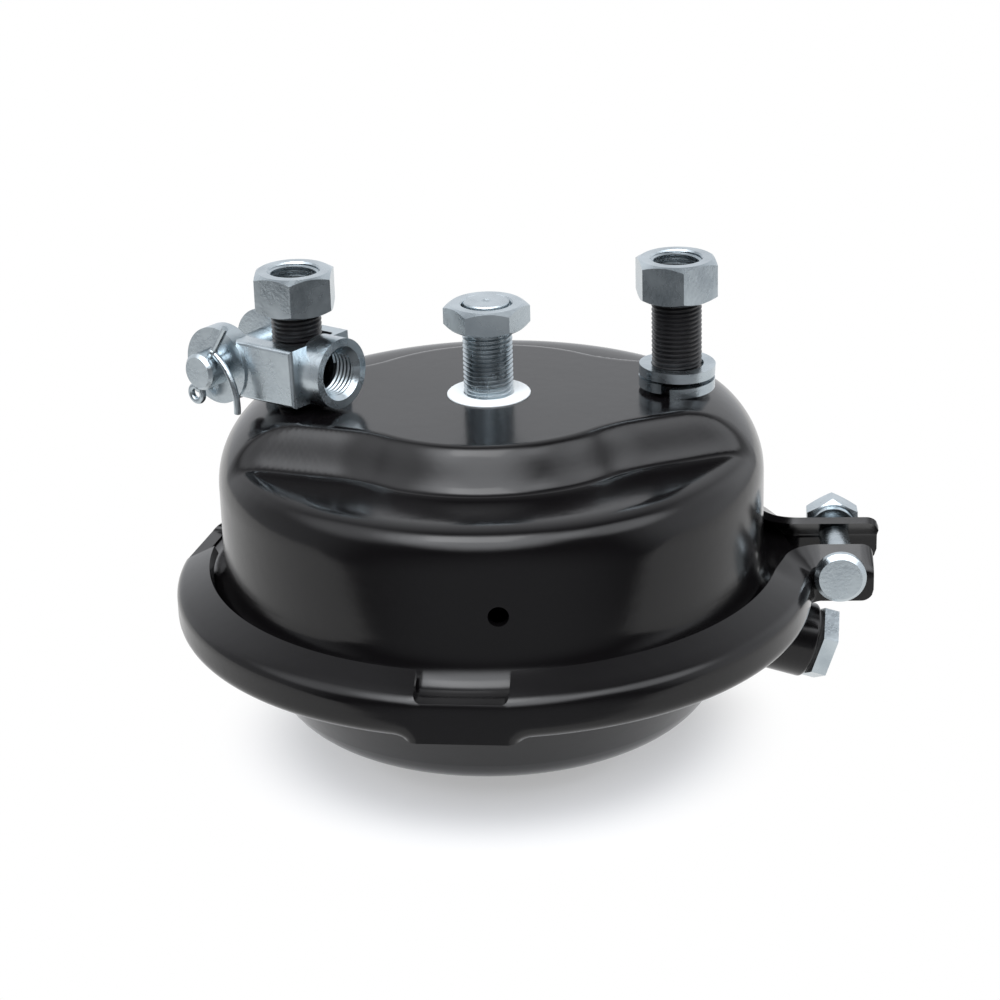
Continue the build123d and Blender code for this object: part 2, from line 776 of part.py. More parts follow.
# local x runs from the stud to the boss, local y away from the near arm, local z up
yoke_plane = Plane((-stud_x, 0, yoke_height), x_dir=yoke_axis, z_dir=yoke_axis.cross(yoke_near) * -1)
side_plane = Plane(yoke_plane.origin, x_dir=yoke_axis, z_dir=yoke_near)
boss_plane = Plane(yoke_plane.origin, x_dir=yoke_near * -1, z_dir=yoke_axis)
half_width = yoke_gap / 2 + yoke_arm
with BuildPart() as clevis:
    with BuildSketch(side_plane):
        with Locations(((yoke_shoulder - yoke_pin_back) / 2, 0)):
            Rectangle(yoke_shoulder + yoke_pin_back, yoke_arm_height)
    extrude(amount=half_width, both=True)
    with BuildSketch(side_plane):
        with Locations((-yoke_pin_back, 0)):
            Circle(yoke_eye_r)
    extrude(amount=half_width, both=True)
    long_edges = clevis.edges().filter_by(lambda e: e.length > yoke_pin_back / 2 and e.geom_type == GeomType.LINE)
    outer = long_edges.filter_by(lambda e: abs((e @ 0.5 - yoke_plane.origin).dot(yoke_near)) > half_width - 0.1)
    fillet(outer, yoke_edge)
    with BuildSketch(side_plane):
        with Locations((-yoke_pin_back, 0)):
            Circle(yoke_eye_r)
    extrude(amount=half_width + yoke_eye_raise, both=True)
    with BuildSketch(boss_plane.offset(yoke_crotch + (yoke_shoulder - yoke_crotch) / 2)):
        Circle(yoke_boss_r)
    extrude(amount=yoke_boss_end - (yoke_crotch + yoke_shoulder) / 2)
    with BuildSketch(yoke_plane):
        with BuildLine():
            far = yoke_pin_back + 2 * yoke_eye_r
            FilletPolyline(
                (-far, -yoke_gap / 2),
                (yoke_crotch, -yoke_gap / 2),
                (yoke_crotch, yoke_gap / 2),
                (-far, yoke_gap / 2),
                radius=yoke_crotch_bend,
            )
            Line((-far, yoke_gap / 2), (-far, -yoke_gap / 2))
        make_face()
    extrude(amount=2 * yoke_arm_height, both=True, mode=Mode.SUBTRACT)
    with Locations(boss_plane.offset(yoke_boss_end)):
        Cylinder(thread_core_r, yoke_boss_end, align=(Align.CENTER, Align.CENTER, Align.MAX), mode=Mode.SUBTRACT)
        Cone(
            thread_core_r,
            thread_core_r + yoke_mouth,
            yoke_mouth,
            align=(Align.CENTER, Align.CENTER, Align.MAX),
            mode=Mode.SUBTRACT,
        )
    with Locations(side_plane * Location((-yoke_pin_back, 0, 0))):
        Cylinder(pin_r + slip, 4 * half_width, mode=Mode.SUBTRACT)
save(clevis, "clevis")

pin_plane = Plane(side_plane.from_local_coords((-yoke_pin_back, 0, 0)), x_dir=yoke_axis, z_dir=yoke_near)
pin_axis = Axis(pin_plane.origin, yoke_near)
with BuildPart() as clevis_pin:
    with Locations(pin_plane.offset(-pin_far)):
        Cylinder(pin_r, pin_far + pin_near, align=(Align.CENTER, Align.CENTER, Align.MIN))
    chamfer(clevis_pin.edges().sort_by(pin_axis)[-1], pin_chamfer)
    with Locations(pin_plane.offset(-pin_far)):
        Cylinder(pin_head_r, pin_head, align=(Align.CENTER, Align.CENTER, Align.MAX))
    chamfer(clevis_pin.edges().sort_by(pin_axis)[0], pin_chamfer / 2)
    hole = pin_plane.offset(cotter_place) * Location((0, 0, 0), (0, 0, -cotter_turn)) * Location((0, 0, 0), (90, 0, 0))
    with Locations(hole):
        Cylinder(cotter_hole_r, 4 * pin_r, mode=Mode.SUBTRACT)
save(clevis_pin, "clevis_pin")

# cotter: legs closed in the hole, one left straight and one bent round the pin
cotter_plane = Plane(
    pin_plane.offset(cotter_place).origin,
    x_dir=yoke_axis.rotate(Axis(pin_plane.origin, yoke_near), -cotter_turn),
    z_dir=yoke_near,
)
eye_mid_r = cotter_eye_r - cotter_wire_r
eye_y = -(pin_r + cotter_neck + cotter_eye_r)
split_y = pin_r + cotter_wire_r
junction = (0, split_y)
with BuildPart() as cotter_pin:
    with Locations(cotter_plane * Location((0, (split_y + eye_y + eye_mid_r) / 2, 0), (90, 0, 0))):
        Cylinder(cotter_hole_r - slip, split_y - eye_y - eye_mid_r)
    with Locations(cotter_plane * Location((0, eye_y, 0))):
        Torus(eye_mid_r, cotter_wire_r)
    with Locations(cotter_plane * Location(junction), cotter_plane * Location((0, eye_y + eye_mid_r, 0))):
        Sphere(cotter_knot_r)
    with BuildLine(cotter_plane):
        straight = Line(junction, (1.0, split_y + straight_leg))
    with BuildSketch(Plane(straight @ 0, z_dir=straight % 0)):
        Circle(cotter_wire_r)
    sweep(path=straight)
    with BuildLine(cotter_plane):
        bent = ThreePointArc(junction, (bent_leg * 0.6, 3.6), (bent_leg, -5.0))
    with BuildSketch(Plane(bent @ 0, z_dir=bent % 0)):
        Circle(cotter_wire_r)
    sweep(path=bent)
save(cotter_pin, "cotter_pin")
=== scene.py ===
"""Air brake chamber: the looks, built over its CAD model."""

import json
import math
from typing import NamedTuple

import bmesh
import bpy
from mathutils import Matrix, Vector


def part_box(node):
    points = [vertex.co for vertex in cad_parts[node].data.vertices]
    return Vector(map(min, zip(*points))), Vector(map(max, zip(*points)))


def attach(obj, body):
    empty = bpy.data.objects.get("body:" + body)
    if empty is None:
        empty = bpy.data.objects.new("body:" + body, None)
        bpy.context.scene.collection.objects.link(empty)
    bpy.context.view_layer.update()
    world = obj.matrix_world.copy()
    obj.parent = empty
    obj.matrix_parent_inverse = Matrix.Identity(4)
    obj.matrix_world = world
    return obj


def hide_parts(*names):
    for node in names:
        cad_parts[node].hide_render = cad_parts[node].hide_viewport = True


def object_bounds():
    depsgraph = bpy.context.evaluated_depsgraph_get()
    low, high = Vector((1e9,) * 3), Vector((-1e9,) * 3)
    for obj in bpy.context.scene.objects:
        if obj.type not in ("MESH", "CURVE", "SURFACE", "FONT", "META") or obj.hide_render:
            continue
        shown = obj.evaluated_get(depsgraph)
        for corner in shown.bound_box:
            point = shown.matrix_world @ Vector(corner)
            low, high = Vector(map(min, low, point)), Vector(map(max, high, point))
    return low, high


bl_info = {
    "name": "Air Brake Chamber",
    "version": (1, 0, 0),
    "blender": (4, 5, 0),
    "location": "3D View > Sidebar > Chamber",
    "description": "Dresses a diaphragm air brake chamber with threads, finishes and a studio",
    "category": "Object",
}

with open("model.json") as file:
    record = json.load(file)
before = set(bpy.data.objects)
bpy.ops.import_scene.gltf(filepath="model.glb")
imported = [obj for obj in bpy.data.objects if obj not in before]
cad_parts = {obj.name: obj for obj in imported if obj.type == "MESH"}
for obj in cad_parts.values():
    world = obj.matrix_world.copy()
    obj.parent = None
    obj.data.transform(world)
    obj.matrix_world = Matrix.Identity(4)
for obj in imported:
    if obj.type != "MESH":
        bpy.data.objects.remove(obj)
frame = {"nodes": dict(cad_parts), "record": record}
CAD_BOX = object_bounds()
# every length is in metres
MM = 0.001
TINY = 1e-9

# how finely the curved forms are divided
PIN_SIDES = 64
DRILL_SIDES = 48
DOME_SIDES = 288
ROOF_STEPS = 44
SHOULDER_STEPS = 30
WALL_STEPS = 12
FLARE_STEPS = 12
BAND_STEPS = 360
LUG_BEND_STEPS = 32
LUG_PLATE_STEPS = 24
STRAIGHT_PARTS = 3
BEND_PARTS = 6
NOTCH_CORNER_STEPS = 6
THREAD_POINTS_A_TURN = 40

# edges sharper than this many degrees stay crisp
SHEET_CREASE = 40.0
THREAD_CREASE = 35.0


# ---------------------------------------------------------------- helpers
def length_value(name, description, millimetres):
    """A length in the panel, given in millimetres and kept in metres."""
    return bpy.props.FloatProperty(
        name=name, description=description, default=millimetres * MM, unit="LENGTH"
    )


def angle_value(name, description, degrees):
    """An angle in the panel, given in degrees and kept in radians."""
    return bpy.props.FloatProperty(
        name=name, description=description, default=math.radians(degrees), subtype="ANGLE"
    )


def linear(hex_colour):
    """An sRGB hex colour as linear red, green, blue and alpha."""
    parts = [int(hex_colour[i : i + 2], 16) / 255 for i in (1, 3, 5)]
    return [c / 12.92 if c <= 0.04045 else ((c + 0.055) / 1.055) ** 2.4 for c in parts] + [1.0]


def pattern_scale(millimetres):
    """Scale of a pattern whose patches are this wide."""
    return 1 / (millimetres * MM)


def node(tree, kind, links=None, **settings):
    """Adds a node, sets its settings and input values, and links its inputs."""
    made = tree.nodes.new(kind)
    for key, value in settings.items():
        setattr(made, key, value)
    for key, value in (links or {}).items():
        if isinstance(value, bpy.types.NodeSocket):
            tree.links.new(value, made.inputs[key])
        else:
            made.inputs[key].default_value = value
    return made


def new_material(name):
    """A material with its node tree, its shader and the object's coordinates."""
    made = bpy.data.materials.new(name)
    made.use_nodes = True
    tree = made.node_tree
    tree.nodes.clear()
    shader = node(tree, "ShaderNodeBsdfPrincipled")
    node(tree, "ShaderNodeOutputMaterial", {"Surface": shader.outputs["BSDF"]})
    coordinates = node(tree, "ShaderNodeTexCoord").outputs["Object"]
    return made, tree, shader, coordinates


def finish_with(piece, made):
    """Gives a piece one material on every face."""
    piece.data.materials.clear()
    piece.data.materials.append(made)


# ---------------------------------------------------------------- finishes
def mottle(tree, shader, place, width, detail, dark, light):
    """Colours a surface in soft patches of a width in millimetres, between two hex colours."""
    patches = node(
        tree,
        "ShaderNodeTexNoise",
        {"Vector": place, "Scale": pattern_scale(width), "Detail": detail},
    ).outputs["Fac"]
    tint = node(
        tree,
        "ShaderNodeMix",
        {"Factor": patches, "A": linear(dark), "B": linear(light)},
        data_type="RGBA",
    )
    tree.links.new(tint.outputs["Result"], shader.inputs["Base Color"])
    return patches


def black_electrocoat():
    """Black cathodic electrocoat, baked: glossy, with a faint orange peel and duller patches."""
    made, tree, shader, place = new_material("black_electrocoat")
    shader.inputs["Base Color"].default_value = linear("#080708")
    shader.inputs["IOR"].default_value = 1.4
    # orange peel about 4 mm across, on slow waves seven times as wide
    peel = node(
        tree,
        "ShaderNodeTexNoise",
        {"Vector": place, "Scale": pattern_scale(4.1667), "Detail": 1.0},
    )
    waves = node(
        tree,
        "ShaderNodeTexNoise",
        {"Vector": place, "Scale": pattern_scale(29.412), "Detail": 1.0},
    )
    both = node(
        tree,
        "ShaderNodeMath",
        {0: peel.outputs["Fac"], 1: 0.4, 2: waves.outputs["Fac"]},
        operation="MULTIPLY_ADD",
    )
    bump = node(
        tree,
        "ShaderNodeBump",
        {"Height": both.outputs[0], "Strength": 0.08, "Distance": 0.8 * MM},
    )
    tree.links.new(bump.outputs["Normal"], shader.inputs["Normal"])
    # baking leaves patches a little duller than others
    haze = node(
        tree,
        "ShaderNodeTexNoise",
        {"Vector": place, "Scale": pattern_scale(45.455), "Detail": 5.0},
    )
    rough = node(
        tree,
        "ShaderNodeMapRange",
        {"Value": haze.outputs["Fac"], "From Min": 0.3, "From Max": 0.7, "To Min": 0.13, "To Max": 0.22},
    )
    tree.links.new(rough.outputs["Result"], shader.inputs["Roughness"])
    return made


def zinc_plate():
    """Blue-passivated zinc on steel: silver with a cold tint, fine grain and dull patches."""
    made, tree, shader, place = new_material("blue_zinc_plate")
    shader.inputs["Metallic"].default_value = 1.0
    patches = mottle(tree, shader, place, 9.0909, 4.0, "#87929a", "#d6dfe3")
    rough = node(
        tree,
        "ShaderNodeMapRange",
        {"Value": patches, "From Min": 0.3, "From Max": 0.7, "To Min": 0.19, "To Max": 0.35},
    )
    tree.links.new(rough.outputs["Result"], shader.inputs["Roughness"])
    # crystalline grain, drawn about 1 mm wide so that it shows
    grain = node(
        tree,
        "ShaderNodeTexNoise",
        {"Vector": place, "Scale": pattern_scale(1.1111), "Detail": 3.0},
    )
    bump = node(
        tree,
        "ShaderNodeBump",
        {"Height": grain.outputs["Fac"], "Strength": 0.3, "Distance": 0.2 * MM},
    )
    tree.links.new(bump.outputs["Normal"], shader.inputs["Normal"])
    return made


def black_phosphate():
    """Oiled black phosphate on steel: nearly black, half dull, with specks drawn 1.4 mm wide."""
    made, tree, shader, place = new_material("oiled_black_phosphate")
    shader.inputs["Roughness"].default_value = 0.34
    shader.inputs["IOR"].default_value = 1.6
    mottle(tree, shader, place, 1.4286, 3.0, "#070707", "#17171a")
    return made


def white_nylon():
    """Natural white nylon, moulded: satin, slightly cloudy."""
    made, tree, shader, place = new_material("moulded_white_nylon")
    shader.inputs["Roughness"].default_value = 0.42
    shader.inputs["IOR"].default_value = 1.53
    mottle(tree, shader, place, 11.111, 2.0, "#cfd4d6", "#e4e8e9")
    return made


def black_rubber():
    """Fabric-reinforced diaphragm rubber: dull black, made uneven by the cords under its skin."""
    made, tree, shader, place = new_material("fabric_reinforced_rubber")
    shader.inputs["Roughness"].default_value = 0.7
    # cords about 1.5 mm apart
    cords = mottle(tree, shader, place, 1.5385, 2.0, "#0a0a0a", "#1a1a1b")
    bump = node(
        tree,
        "ShaderNodeBump",
        {"Height": cords, "Strength": 0.3, "Distance": 0.4 * MM},
    )
    tree.links.new(bump.outputs["Normal"], shader.inputs["Normal"])
    return made


def spring_steel():
    """Oil-tempered spring wire: dark blue-grey metal with patches of temper scale."""
    made, tree, shader, place = new_material("oil_tempered_spring_wire")
    shader.inputs["Metallic"].default_value = 1.0
    shader.inputs["Roughness"].default_value = 0.4
    mottle(tree, shader, place, 3.3333, 3.0, "#2b2c2f", "#4a4c50")
    return made


FINISH_OF_SLOT = {
    "black_ecoat": black_electrocoat,
    "zinc_plate": zinc_plate,
    "black_phosphate": black_phosphate,
    "white_nylon": white_nylon,
    "black_rubber": black_rubber,
    "spring_steel": spring_steel,
}
FINISHES = {}


def finish(slot):
    """The material of a slot, made once."""
    if slot not in FINISHES:
        FINISHES[slot] = FINISH_OF_SLOT[slot]()
    return FINISHES[slot]


# ---------------------------------------------------------------- meshes and pieces
def mesh_from(bm, name):
    """Writes a bmesh into a new mesh and frees it."""
    mesh = bpy.data.meshes.new(name)
    bm.to_mesh(mesh)
    bm.free()
    return mesh


def circle(radius, sides):
    """Points round the Z axis."""
    turns = [2 * math.pi * k / sides for k in range(sides)]
    return [(radius * math.cos(turn), radius * math.sin(turn)) for turn in turns]


def quarter_turn(steps):
    """Angles from 0 to a right angle, both included."""
    return [math.pi / 2 * k / steps for k in range(steps + 1)]


def skin(bm, rings):
    """Adds the faces between each ring of vertices and the next; a ring may be one vertex."""
    around = max(len(ring) for ring in rings)
    for near, far in zip(rings, rings[1:]):
        for k in range(around):
            after = (k + 1) % around
            around_face = ((near, k), (far, k), (far, after), (near, after))
            corners = [ring[j % len(ring)] for ring, j in around_face]
            corners = [c for i, c in enumerate(corners) if c not in corners[:i]]
            bm.faces.new(corners)


def capped_solid(name, rings):
    """Closed mesh through rings of points, flat at both ends, its faces turned outwards."""
    bm = bmesh.new()
    rows = [[bm.verts.new(point) for point in ring] for ring in rings]
    skin(bm, rows)
    bm.faces.new(rows[0])
    bm.faces.new(rows[-1][::-1])
    bmesh.ops.recalc_face_normals(bm, faces=bm.faces)
    return mesh_from(bm, name)


def smooth_by_angle(mesh, degrees):
    """Smooth shading, with edges sharper than the angle left crisp."""
    mesh.polygons.foreach_set("use_smooth", [True] * len(mesh.polygons))
    bm = bmesh.new()
    bm.from_mesh(mesh)
    for edge in bm.edges:
        sharp = len(edge.link_faces) != 2 or edge.calc_face_angle(0) > math.radians(degrees)
        edge.smooth = not sharp
    bm.to_mesh(mesh)
    bm.free()


def new_object(name, data):
    """An object in the scene's own collection."""
    made = bpy.data.objects.new(name, data)
    bpy.context.scene.collection.objects.link(made)
    return made


def finished_mesh(carrier):
    """The mesh that an object's modifiers leave."""
    bpy.context.view_layer.update()
    graph = bpy.context.evaluated_depsgraph_get()
    return bpy.data.meshes.new_from_object(carrier.evaluated_get(graph))


def new_piece(name, mesh, slot, body, node_name=None):
    """A piece whose mesh is in place: its body, its slot and the CAD node that it may stand for."""
    piece = new_object(name, mesh)
    finish_with(piece, finish(slot))
    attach(piece, body)
    if node_name:
        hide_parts(node_name)
    return piece


# ---------------------------------------------------------------- threads
# shares of a thread's depth and pitch
RIDGE_SINK = -0.25
HALF_FOOT = 0.49
HALF_CREST = 0.1

# from a pin's tip to the end of its ridge, and the bevel of the tip
STUD_RIDGE_STOP = 1.2 * MM
STUD_TIP_BEVEL = 0.3 * MM
ROD_RIDGE_STOP = 1.3 * MM
ROD_TIP_BEVEL = 0.4 * MM
# centre hole that the lathe leaves in the rod's end
CENTRE_HOLE_RADIUS = 1.6 * MM
CENTRE_HOLE_DEPTH = 1.2 * MM
# a nut's thread starts below its upper face and covers the length above the stud's tip
NUT_THREAD_TOP = 0.8 * MM
NUT_THREAD_LENGTH = 4.8 * MM
NUT_THREAD_PLAY = 0.1 * MM
# a hole's thread stops short of both ends
HOLE_THREAD_STOP = 0.3 * MM
# how far a ridge's foot is sunk into the CAD's plain surface
FOOT_SUNK = 0.05 * MM


class Thread(NamedTuple):
    """A screw thread round the Z axis, in metres; a depth below 0 points to the axis."""

    root: float
    depth: float
    pitch: float
    start: float
    length: float


def thread_tree():
    """Node tree of a screw thread: a V ridge that winds up the Z axis from the origin."""
    tree = bpy.data.node_groups.new("screw_thread", "GeometryNodeTree")
    tree.interface.new_socket("Geometry", in_out="INPUT", socket_type="NodeSocketGeometry")
    for name, default in (
        ("Root Radius", 7.2 * MM),
        ("Depth", 0.8 * MM),
        ("Pitch", 1.5 * MM),
        ("Turns", 10.0),
    ):
        socket = tree.interface.new_socket(name, in_out="INPUT", socket_type="NodeSocketFloat")
        socket.default_value = default
    tree.interface.new_socket("Material", in_out="INPUT", socket_type="NodeSocketMaterial")
    tree.interface.new_socket("Geometry", in_out="OUTPUT", socket_type="NodeSocketGeometry")
    given = node(tree, "NodeGroupInput").outputs
    measures = {}
    for name, size, share in (
        ("height", given["Pitch"], given["Turns"]),
        ("sink", given["Depth"], RIDGE_SINK),
        ("foot_low", given["Pitch"], -HALF_FOOT),
        ("foot_high", given["Pitch"], HALF_FOOT),
        ("crest_low", given["Pitch"], -HALF_CREST),
        ("crest_high", given["Pitch"], HALF_CREST),
    ):
        product = node(tree, "ShaderNodeMath", {0: size, 1: share}, operation="MULTIPLY")
        measures[name] = product.outputs[0]
    spiral = node(
        tree,
        "GeometryNodeCurveSpiral",
        {
            "Resolution": THREAD_POINTS_A_TURN,
            "Rotations": given["Turns"],
            "Start Radius": given["Root Radius"],
            "End Radius": given["Root Radius"],
            "Height": measures["height"],
            # right-hand thread
            "Reverse": True,
        },
    )
    # section: flat crest, foot sunk a little into the root, and flanks that lie at about
    # 30 degrees where the depth is half the pitch
    corners = {}
    for name, out, up in (
        ("Point 1", measures["sink"], measures["foot_low"]),
        ("Point 2", given["Depth"], measures["crest_low"]),
        ("Point 3", given["Depth"], measures["crest_high"]),
        ("Point 4", measures["sink"], measures["foot_high"]),
    ):
        corners[name] = node(tree, "ShaderNodeCombineXYZ", {"X": out, "Y": up}).outputs[0]
    section = node(tree, "GeometryNodeCurvePrimitiveQuadrilateral", corners, mode="POINTS")
    upright = node(
        tree,
        "GeometryNodeSetCurveNormal",
        {"Curve": spiral.outputs["Curve"]},
        mode="Z_UP",
    )
    ridge = node(
        tree,
        "GeometryNodeCurveToMesh",
        {"Curve": upright.outputs["Curve"], "Profile Curve": section.outputs["Curve"], "Fill Caps": True},
    )
    real = node(tree, "GeometryNodeRealizeInstances", {"Geometry": ridge.outputs["Mesh"]})
    coated = node(
        tree,
        "GeometryNodeSetMaterial",
        {"Geometry": real.outputs["Geometry"], "Material": given["Material"]},
    )
    node(tree, "NodeGroupOutput", {"Geometry": coated.outputs["Geometry"]})
    return tree


def thread_mesh(name, thread, material):
    """Plain mesh of a thread's ridge."""
    tree = bpy.data.node_groups.get("screw_thread") or thread_tree()
    carrier = new_object(name, bpy.data.meshes.new(name))
    modifier = carrier.modifiers.new("thread", "NODES")
    modifier.node_group = tree
    sockets = {
        item.name: item.identifier
        for item in tree.interface.items_tree
        if item.item_type == "SOCKET" and item.in_out == "INPUT"
    }
    for key, value in (
        ("Root Radius", thread.root),
        ("Depth", thread.depth),
        ("Pitch", thread.pitch),
        ("Turns", thread.length / thread.pitch),
        ("Material", material),
    ):
        modifier[sockets[key]] = value
    mesh = finished_mesh(carrier)
    bpy.data.objects.remove(carrier)
    mesh.transform(Matrix.Translation((0, 0, thread.start)))
    return mesh


def thread_piece(name, thread, spot, axis, slot, body):
    """A thread's ridge as a piece of its own, on an axis through a spot."""
    mesh = thread_mesh(name, thread, finish(slot))
    smooth_by_angle(mesh, THREAD_CREASE)
    facing = Vector(axis).to_track_quat("Z", "Y").to_matrix().to_4x4()
    mesh.transform(Matrix.Translation(spot) @ facing)
    return new_piece(name, mesh, slot, body)


def lathe(bm, outline):
    """Adds a closed solid of revolution: outline is (radius, height) from axis to axis."""
    rings = []
    for radius, height in outline:
        points = circle(radius, PIN_SIDES) if radius > TINY else [(0, 0)]
        rings.append([bm.verts.new((x, y, height)) for x, y in points])
    skin(bm, rings)
    bmesh.ops.recalc_face_normals(bm, faces=bm.faces)


def threaded_end(sizes, start, tip, bevel):
    """Outline of a pin from its plain shank, cut down to the thread's root, to its bevelled tip."""
    root = sizes.stud_radius - sizes.depth
    return [
        (sizes.stud_radius, start - sizes.runout),
        (root, start),
        (root, tip - bevel),
        (root - bevel, tip),
    ]


def threaded_pin(name, outline, thread, x, slot, body, node_name):
    """A turned pin with its thread, on an upright axis at x."""
    bm = bmesh.new()
    lathe(bm, outline)
    ridge = thread_mesh(name + "_ridge", thread, finish(slot))
    bm.from_mesh(ridge)
    bpy.data.meshes.remove(ridge)
    mesh = mesh_from(bm, name)
    smooth_by_angle(mesh, THREAD_CREASE)
    mesh.transform(Matrix.Translation((x, 0, 0)))
    return new_piece(name, mesh, slot, body, node_name)


# ---------------------------------------------------------------- the pressed dome
# length of the drill that cuts both breather holes
DRILL_LENGTH = 300.0 * MM


def smooth_step(share):
    """0 to 1 with a gentle start and end."""
    share = min(max(share, 0.0), 1.0)
    return share * share * (3 - 2 * share)


def rounded_max(a, b, width):
    """The larger of two heights, with the edge between them rounded over a width."""
    if width < TINY:
        return max(a, b)
    near = max(width - abs(a - b), 0.0) / width
    return max(a, b) + near * near * width / 4


def land_distance(x, y, dome):
    """How far a point of the plan lies beyond the land's edge: a round with a wing to each side."""
    turn, slope = dome.land_turn, dome.wing_slope
    x, y = abs(x), abs(y)
    if math.atan2(x, y) <= turn:
        return math.hypot(x, y) - dome.land_radius
    reach = dome.land_radius + dome.land_blend
    centre = Vector((reach * math.sin(turn), reach * math.cos(turn)))
    away = Vector((x, y)) - centre
    if math.atan2(-away.x, -away.y) >= slope:
        return dome.land_blend - away.length
    facing = Vector((math.sin(slope), math.cos(slope)))
    return (away + facing * dome.land_blend).dot(facing)


def dome_profile(dome, band):
    """Radius and height of the plain dome from its hole over the shoulder to the rim's edge."""
    flat = dome.radius - dome.shoulder
    hole = dome.bush_hole
    points = [(hole + (flat - hole) * k / ROOF_STEPS, 0.0) for k in range(ROOF_STEPS)]
    for a in quarter_turn(SHOULDER_STEPS):
        points.append((flat + dome.shoulder * math.sin(a), -dome.shoulder * (1 - math.cos(a))))
    foot = band.rim_top + dome.flare_height
    wall = foot + dome.shoulder
    points += [(dome.radius, -dome.shoulder + wall * k / WALL_STEPS) for k in range(1, WALL_STEPS)]
    for a in quarter_turn(FLARE_STEPS):
        out = dome.radius + dome.flare_width * (1 - math.cos(a))
        points.append((out, foot - dome.flare_height * math.sin(a)))
    return points + [(band.rim_radius, band.rim_top)]


def pressed_dome(dome, band):
    """Outer surface of the housing: a turned dome with two ledges pressed into its roof."""
    bm = bmesh.new()
    rings = []
    for radius, level in dome_profile(dome, band):
        ring = []
        for x, y in circle(radius, DOME_SIDES):
            height = level
            if level > -dome.shoulder:
                step = dome.front_step if y < 0 else dome.rear_step
                beyond = land_distance(x, y, dome) + dome.slope_width
                share = smooth_step(beyond / (dome.slope_width + dome.foot_width))
                height = -rounded_max(-level, step * share, dome.crest_width * share)
            ring.append(bm.verts.new((x, y, height)))
        rings.append(ring)
    skin(bm, rings)
    return mesh_from(bm, "pressed_dome")


def breather_drill(dome):
    """Rod across the dome, front to back, that cuts the breather holes."""
    bm = bmesh.new()
    bmesh.ops.create_cone(
        bm,
        cap_ends=True,
        segments=DRILL_SIDES,
        radius1=dome.breather_radius,
        radius2=dome.breather_radius,
        depth=DRILL_LENGTH,
        matrix=Matrix.Translation((0, 0, dome.breather_level)) @ Matrix.Rotation(math.pi / 2, 4, "X"),
    )
    bmesh.ops.recalc_face_normals(bm, faces=bm.faces)
    return mesh_from(bm, "breather")


def cut_sheet(name, mesh, cutters, thickness=0.0):
    """The mesh cut by closed meshes; a bare surface is first given its thickness, inwards."""
    carrier = new_object(name, mesh)
    if thickness:
        wall = carrier.modifiers.new("sheet", "SOLIDIFY")
        wall.thickness, wall.offset = thickness, -1.0
    tools = []
    for cutter in cutters:
        tool = new_object(name + "_cutter", cutter)
        cut = carrier.modifiers.new("cut", "BOOLEAN")
        cut.object, cut.operation, cut.solver = tool, "DIFFERENCE", "EXACT"
        tools.append(tool)
    done = finished_mesh(carrier)
    for spent in (carrier, *tools):
        bpy.data.objects.remove(spent)
    return done


# ---------------------------------------------------------------- the clamp band
# below 1, a lug's sections stand closer together towards its rounded tip
TIP_CROWDING = 0.7
# how far a notch's cutter reaches above the bolt's axis, and in and out from the band's wall
CUTTER_UPWARD = 30.0 * MM
CUTTER_INWARD = 22.0 * MM
CUTTER_OUTWARD = 6.0 * MM
# controls of the band's section that move where the lower leg is let down
OUTER_CORNER, OUTER_BEND, OUTER_LIP = 5, 6, 7
INNER_LIP, INNER_BEND, INNER_CORNER = 8, 9, 10


class Station(NamedTuple):
    """A place along the band where its section stands."""

    spot: Vector  # middle of the sheet, in plan
    out: Vector  # outward direction, in plan
    unfold: float  # 0 on the round, 1 on the lug's plate
    tall: float  # share of the section's full height
    hang: float = 0.0  # how far the lower leg is let down
    draw: float = 0.0  # how far the section is drawn in


def leg_points(side, rim_level, lean, lip_radius, band):
    """Lip and corner of one leg of the band's section, outer line then inner line."""

    def on_line(radius, out):
        """Point at a radius of the leaning line that passes a rim's edge at a distance out."""
        rise = (out - (radius - band.rim_radius) * math.sin(lean)) / math.cos(lean)
        return Vector((radius, rim_level + side * rise))

    out = band.nest_gap + band.sheet
    lip = on_line(lip_radius, out)
    inner_lip = lip - Vector((band.sheet * math.sin(lean), side * band.sheet * math.cos(lean)))
    inner_corner = on_line(band.radius - band.sheet, band.nest_gap)
    return [lip, on_line(band.radius, out)], [inner_lip, inner_corner]


def with_bends(line, bend):
    """Points of a leg, wall and leg line, its two corners widened to bend controls."""
    points = [line[0]]
    for before, corner, after in zip(line, line[1:], line[2:]):
        one, two = (before - corner).normalized(), (after - corner).normalized()
        run = bend / math.tan(one.angle(two) / 2)
        points += [corner + one * run, corner, corner + two * run]
    return points + [line[-1]]


def flattened(points, depth, band):
    """The same points laid along the lug's face at a depth from its middle."""
    steps = [0.0]
    for a, b in zip(points, points[1:]):
        steps.append(steps[-1] + (b - a).length)
    top = band.lug_z + band.lug_height / 2
    return [Vector((depth, top - band.lug_height * step / steps[-1])) for step in steps]


def band_controls(band):
    """Control points of the V section and of the lug: 8 outside from the top, 8 inside from below."""
    up_out, up_in = leg_points(1, band.rim_top, band.top_lean, band.top_lip_radius, band)
    low_out, low_in = leg_points(-1, band.rim_low, band.low_lean, band.low_lip_radius, band)
    outside = with_bends(up_out + low_out[::-1], band.bend)
    inside = with_bends(up_in + low_in[::-1], band.bend - band.sheet)
    spine = Vector((band.radius - band.sheet / 2, 0))
    vee = [p - spine for p in outside + inside[::-1]]
    half = band.sheet / 2
    return vee, flattened(outside, half, band) + flattened(inside, -half, band)[::-1]


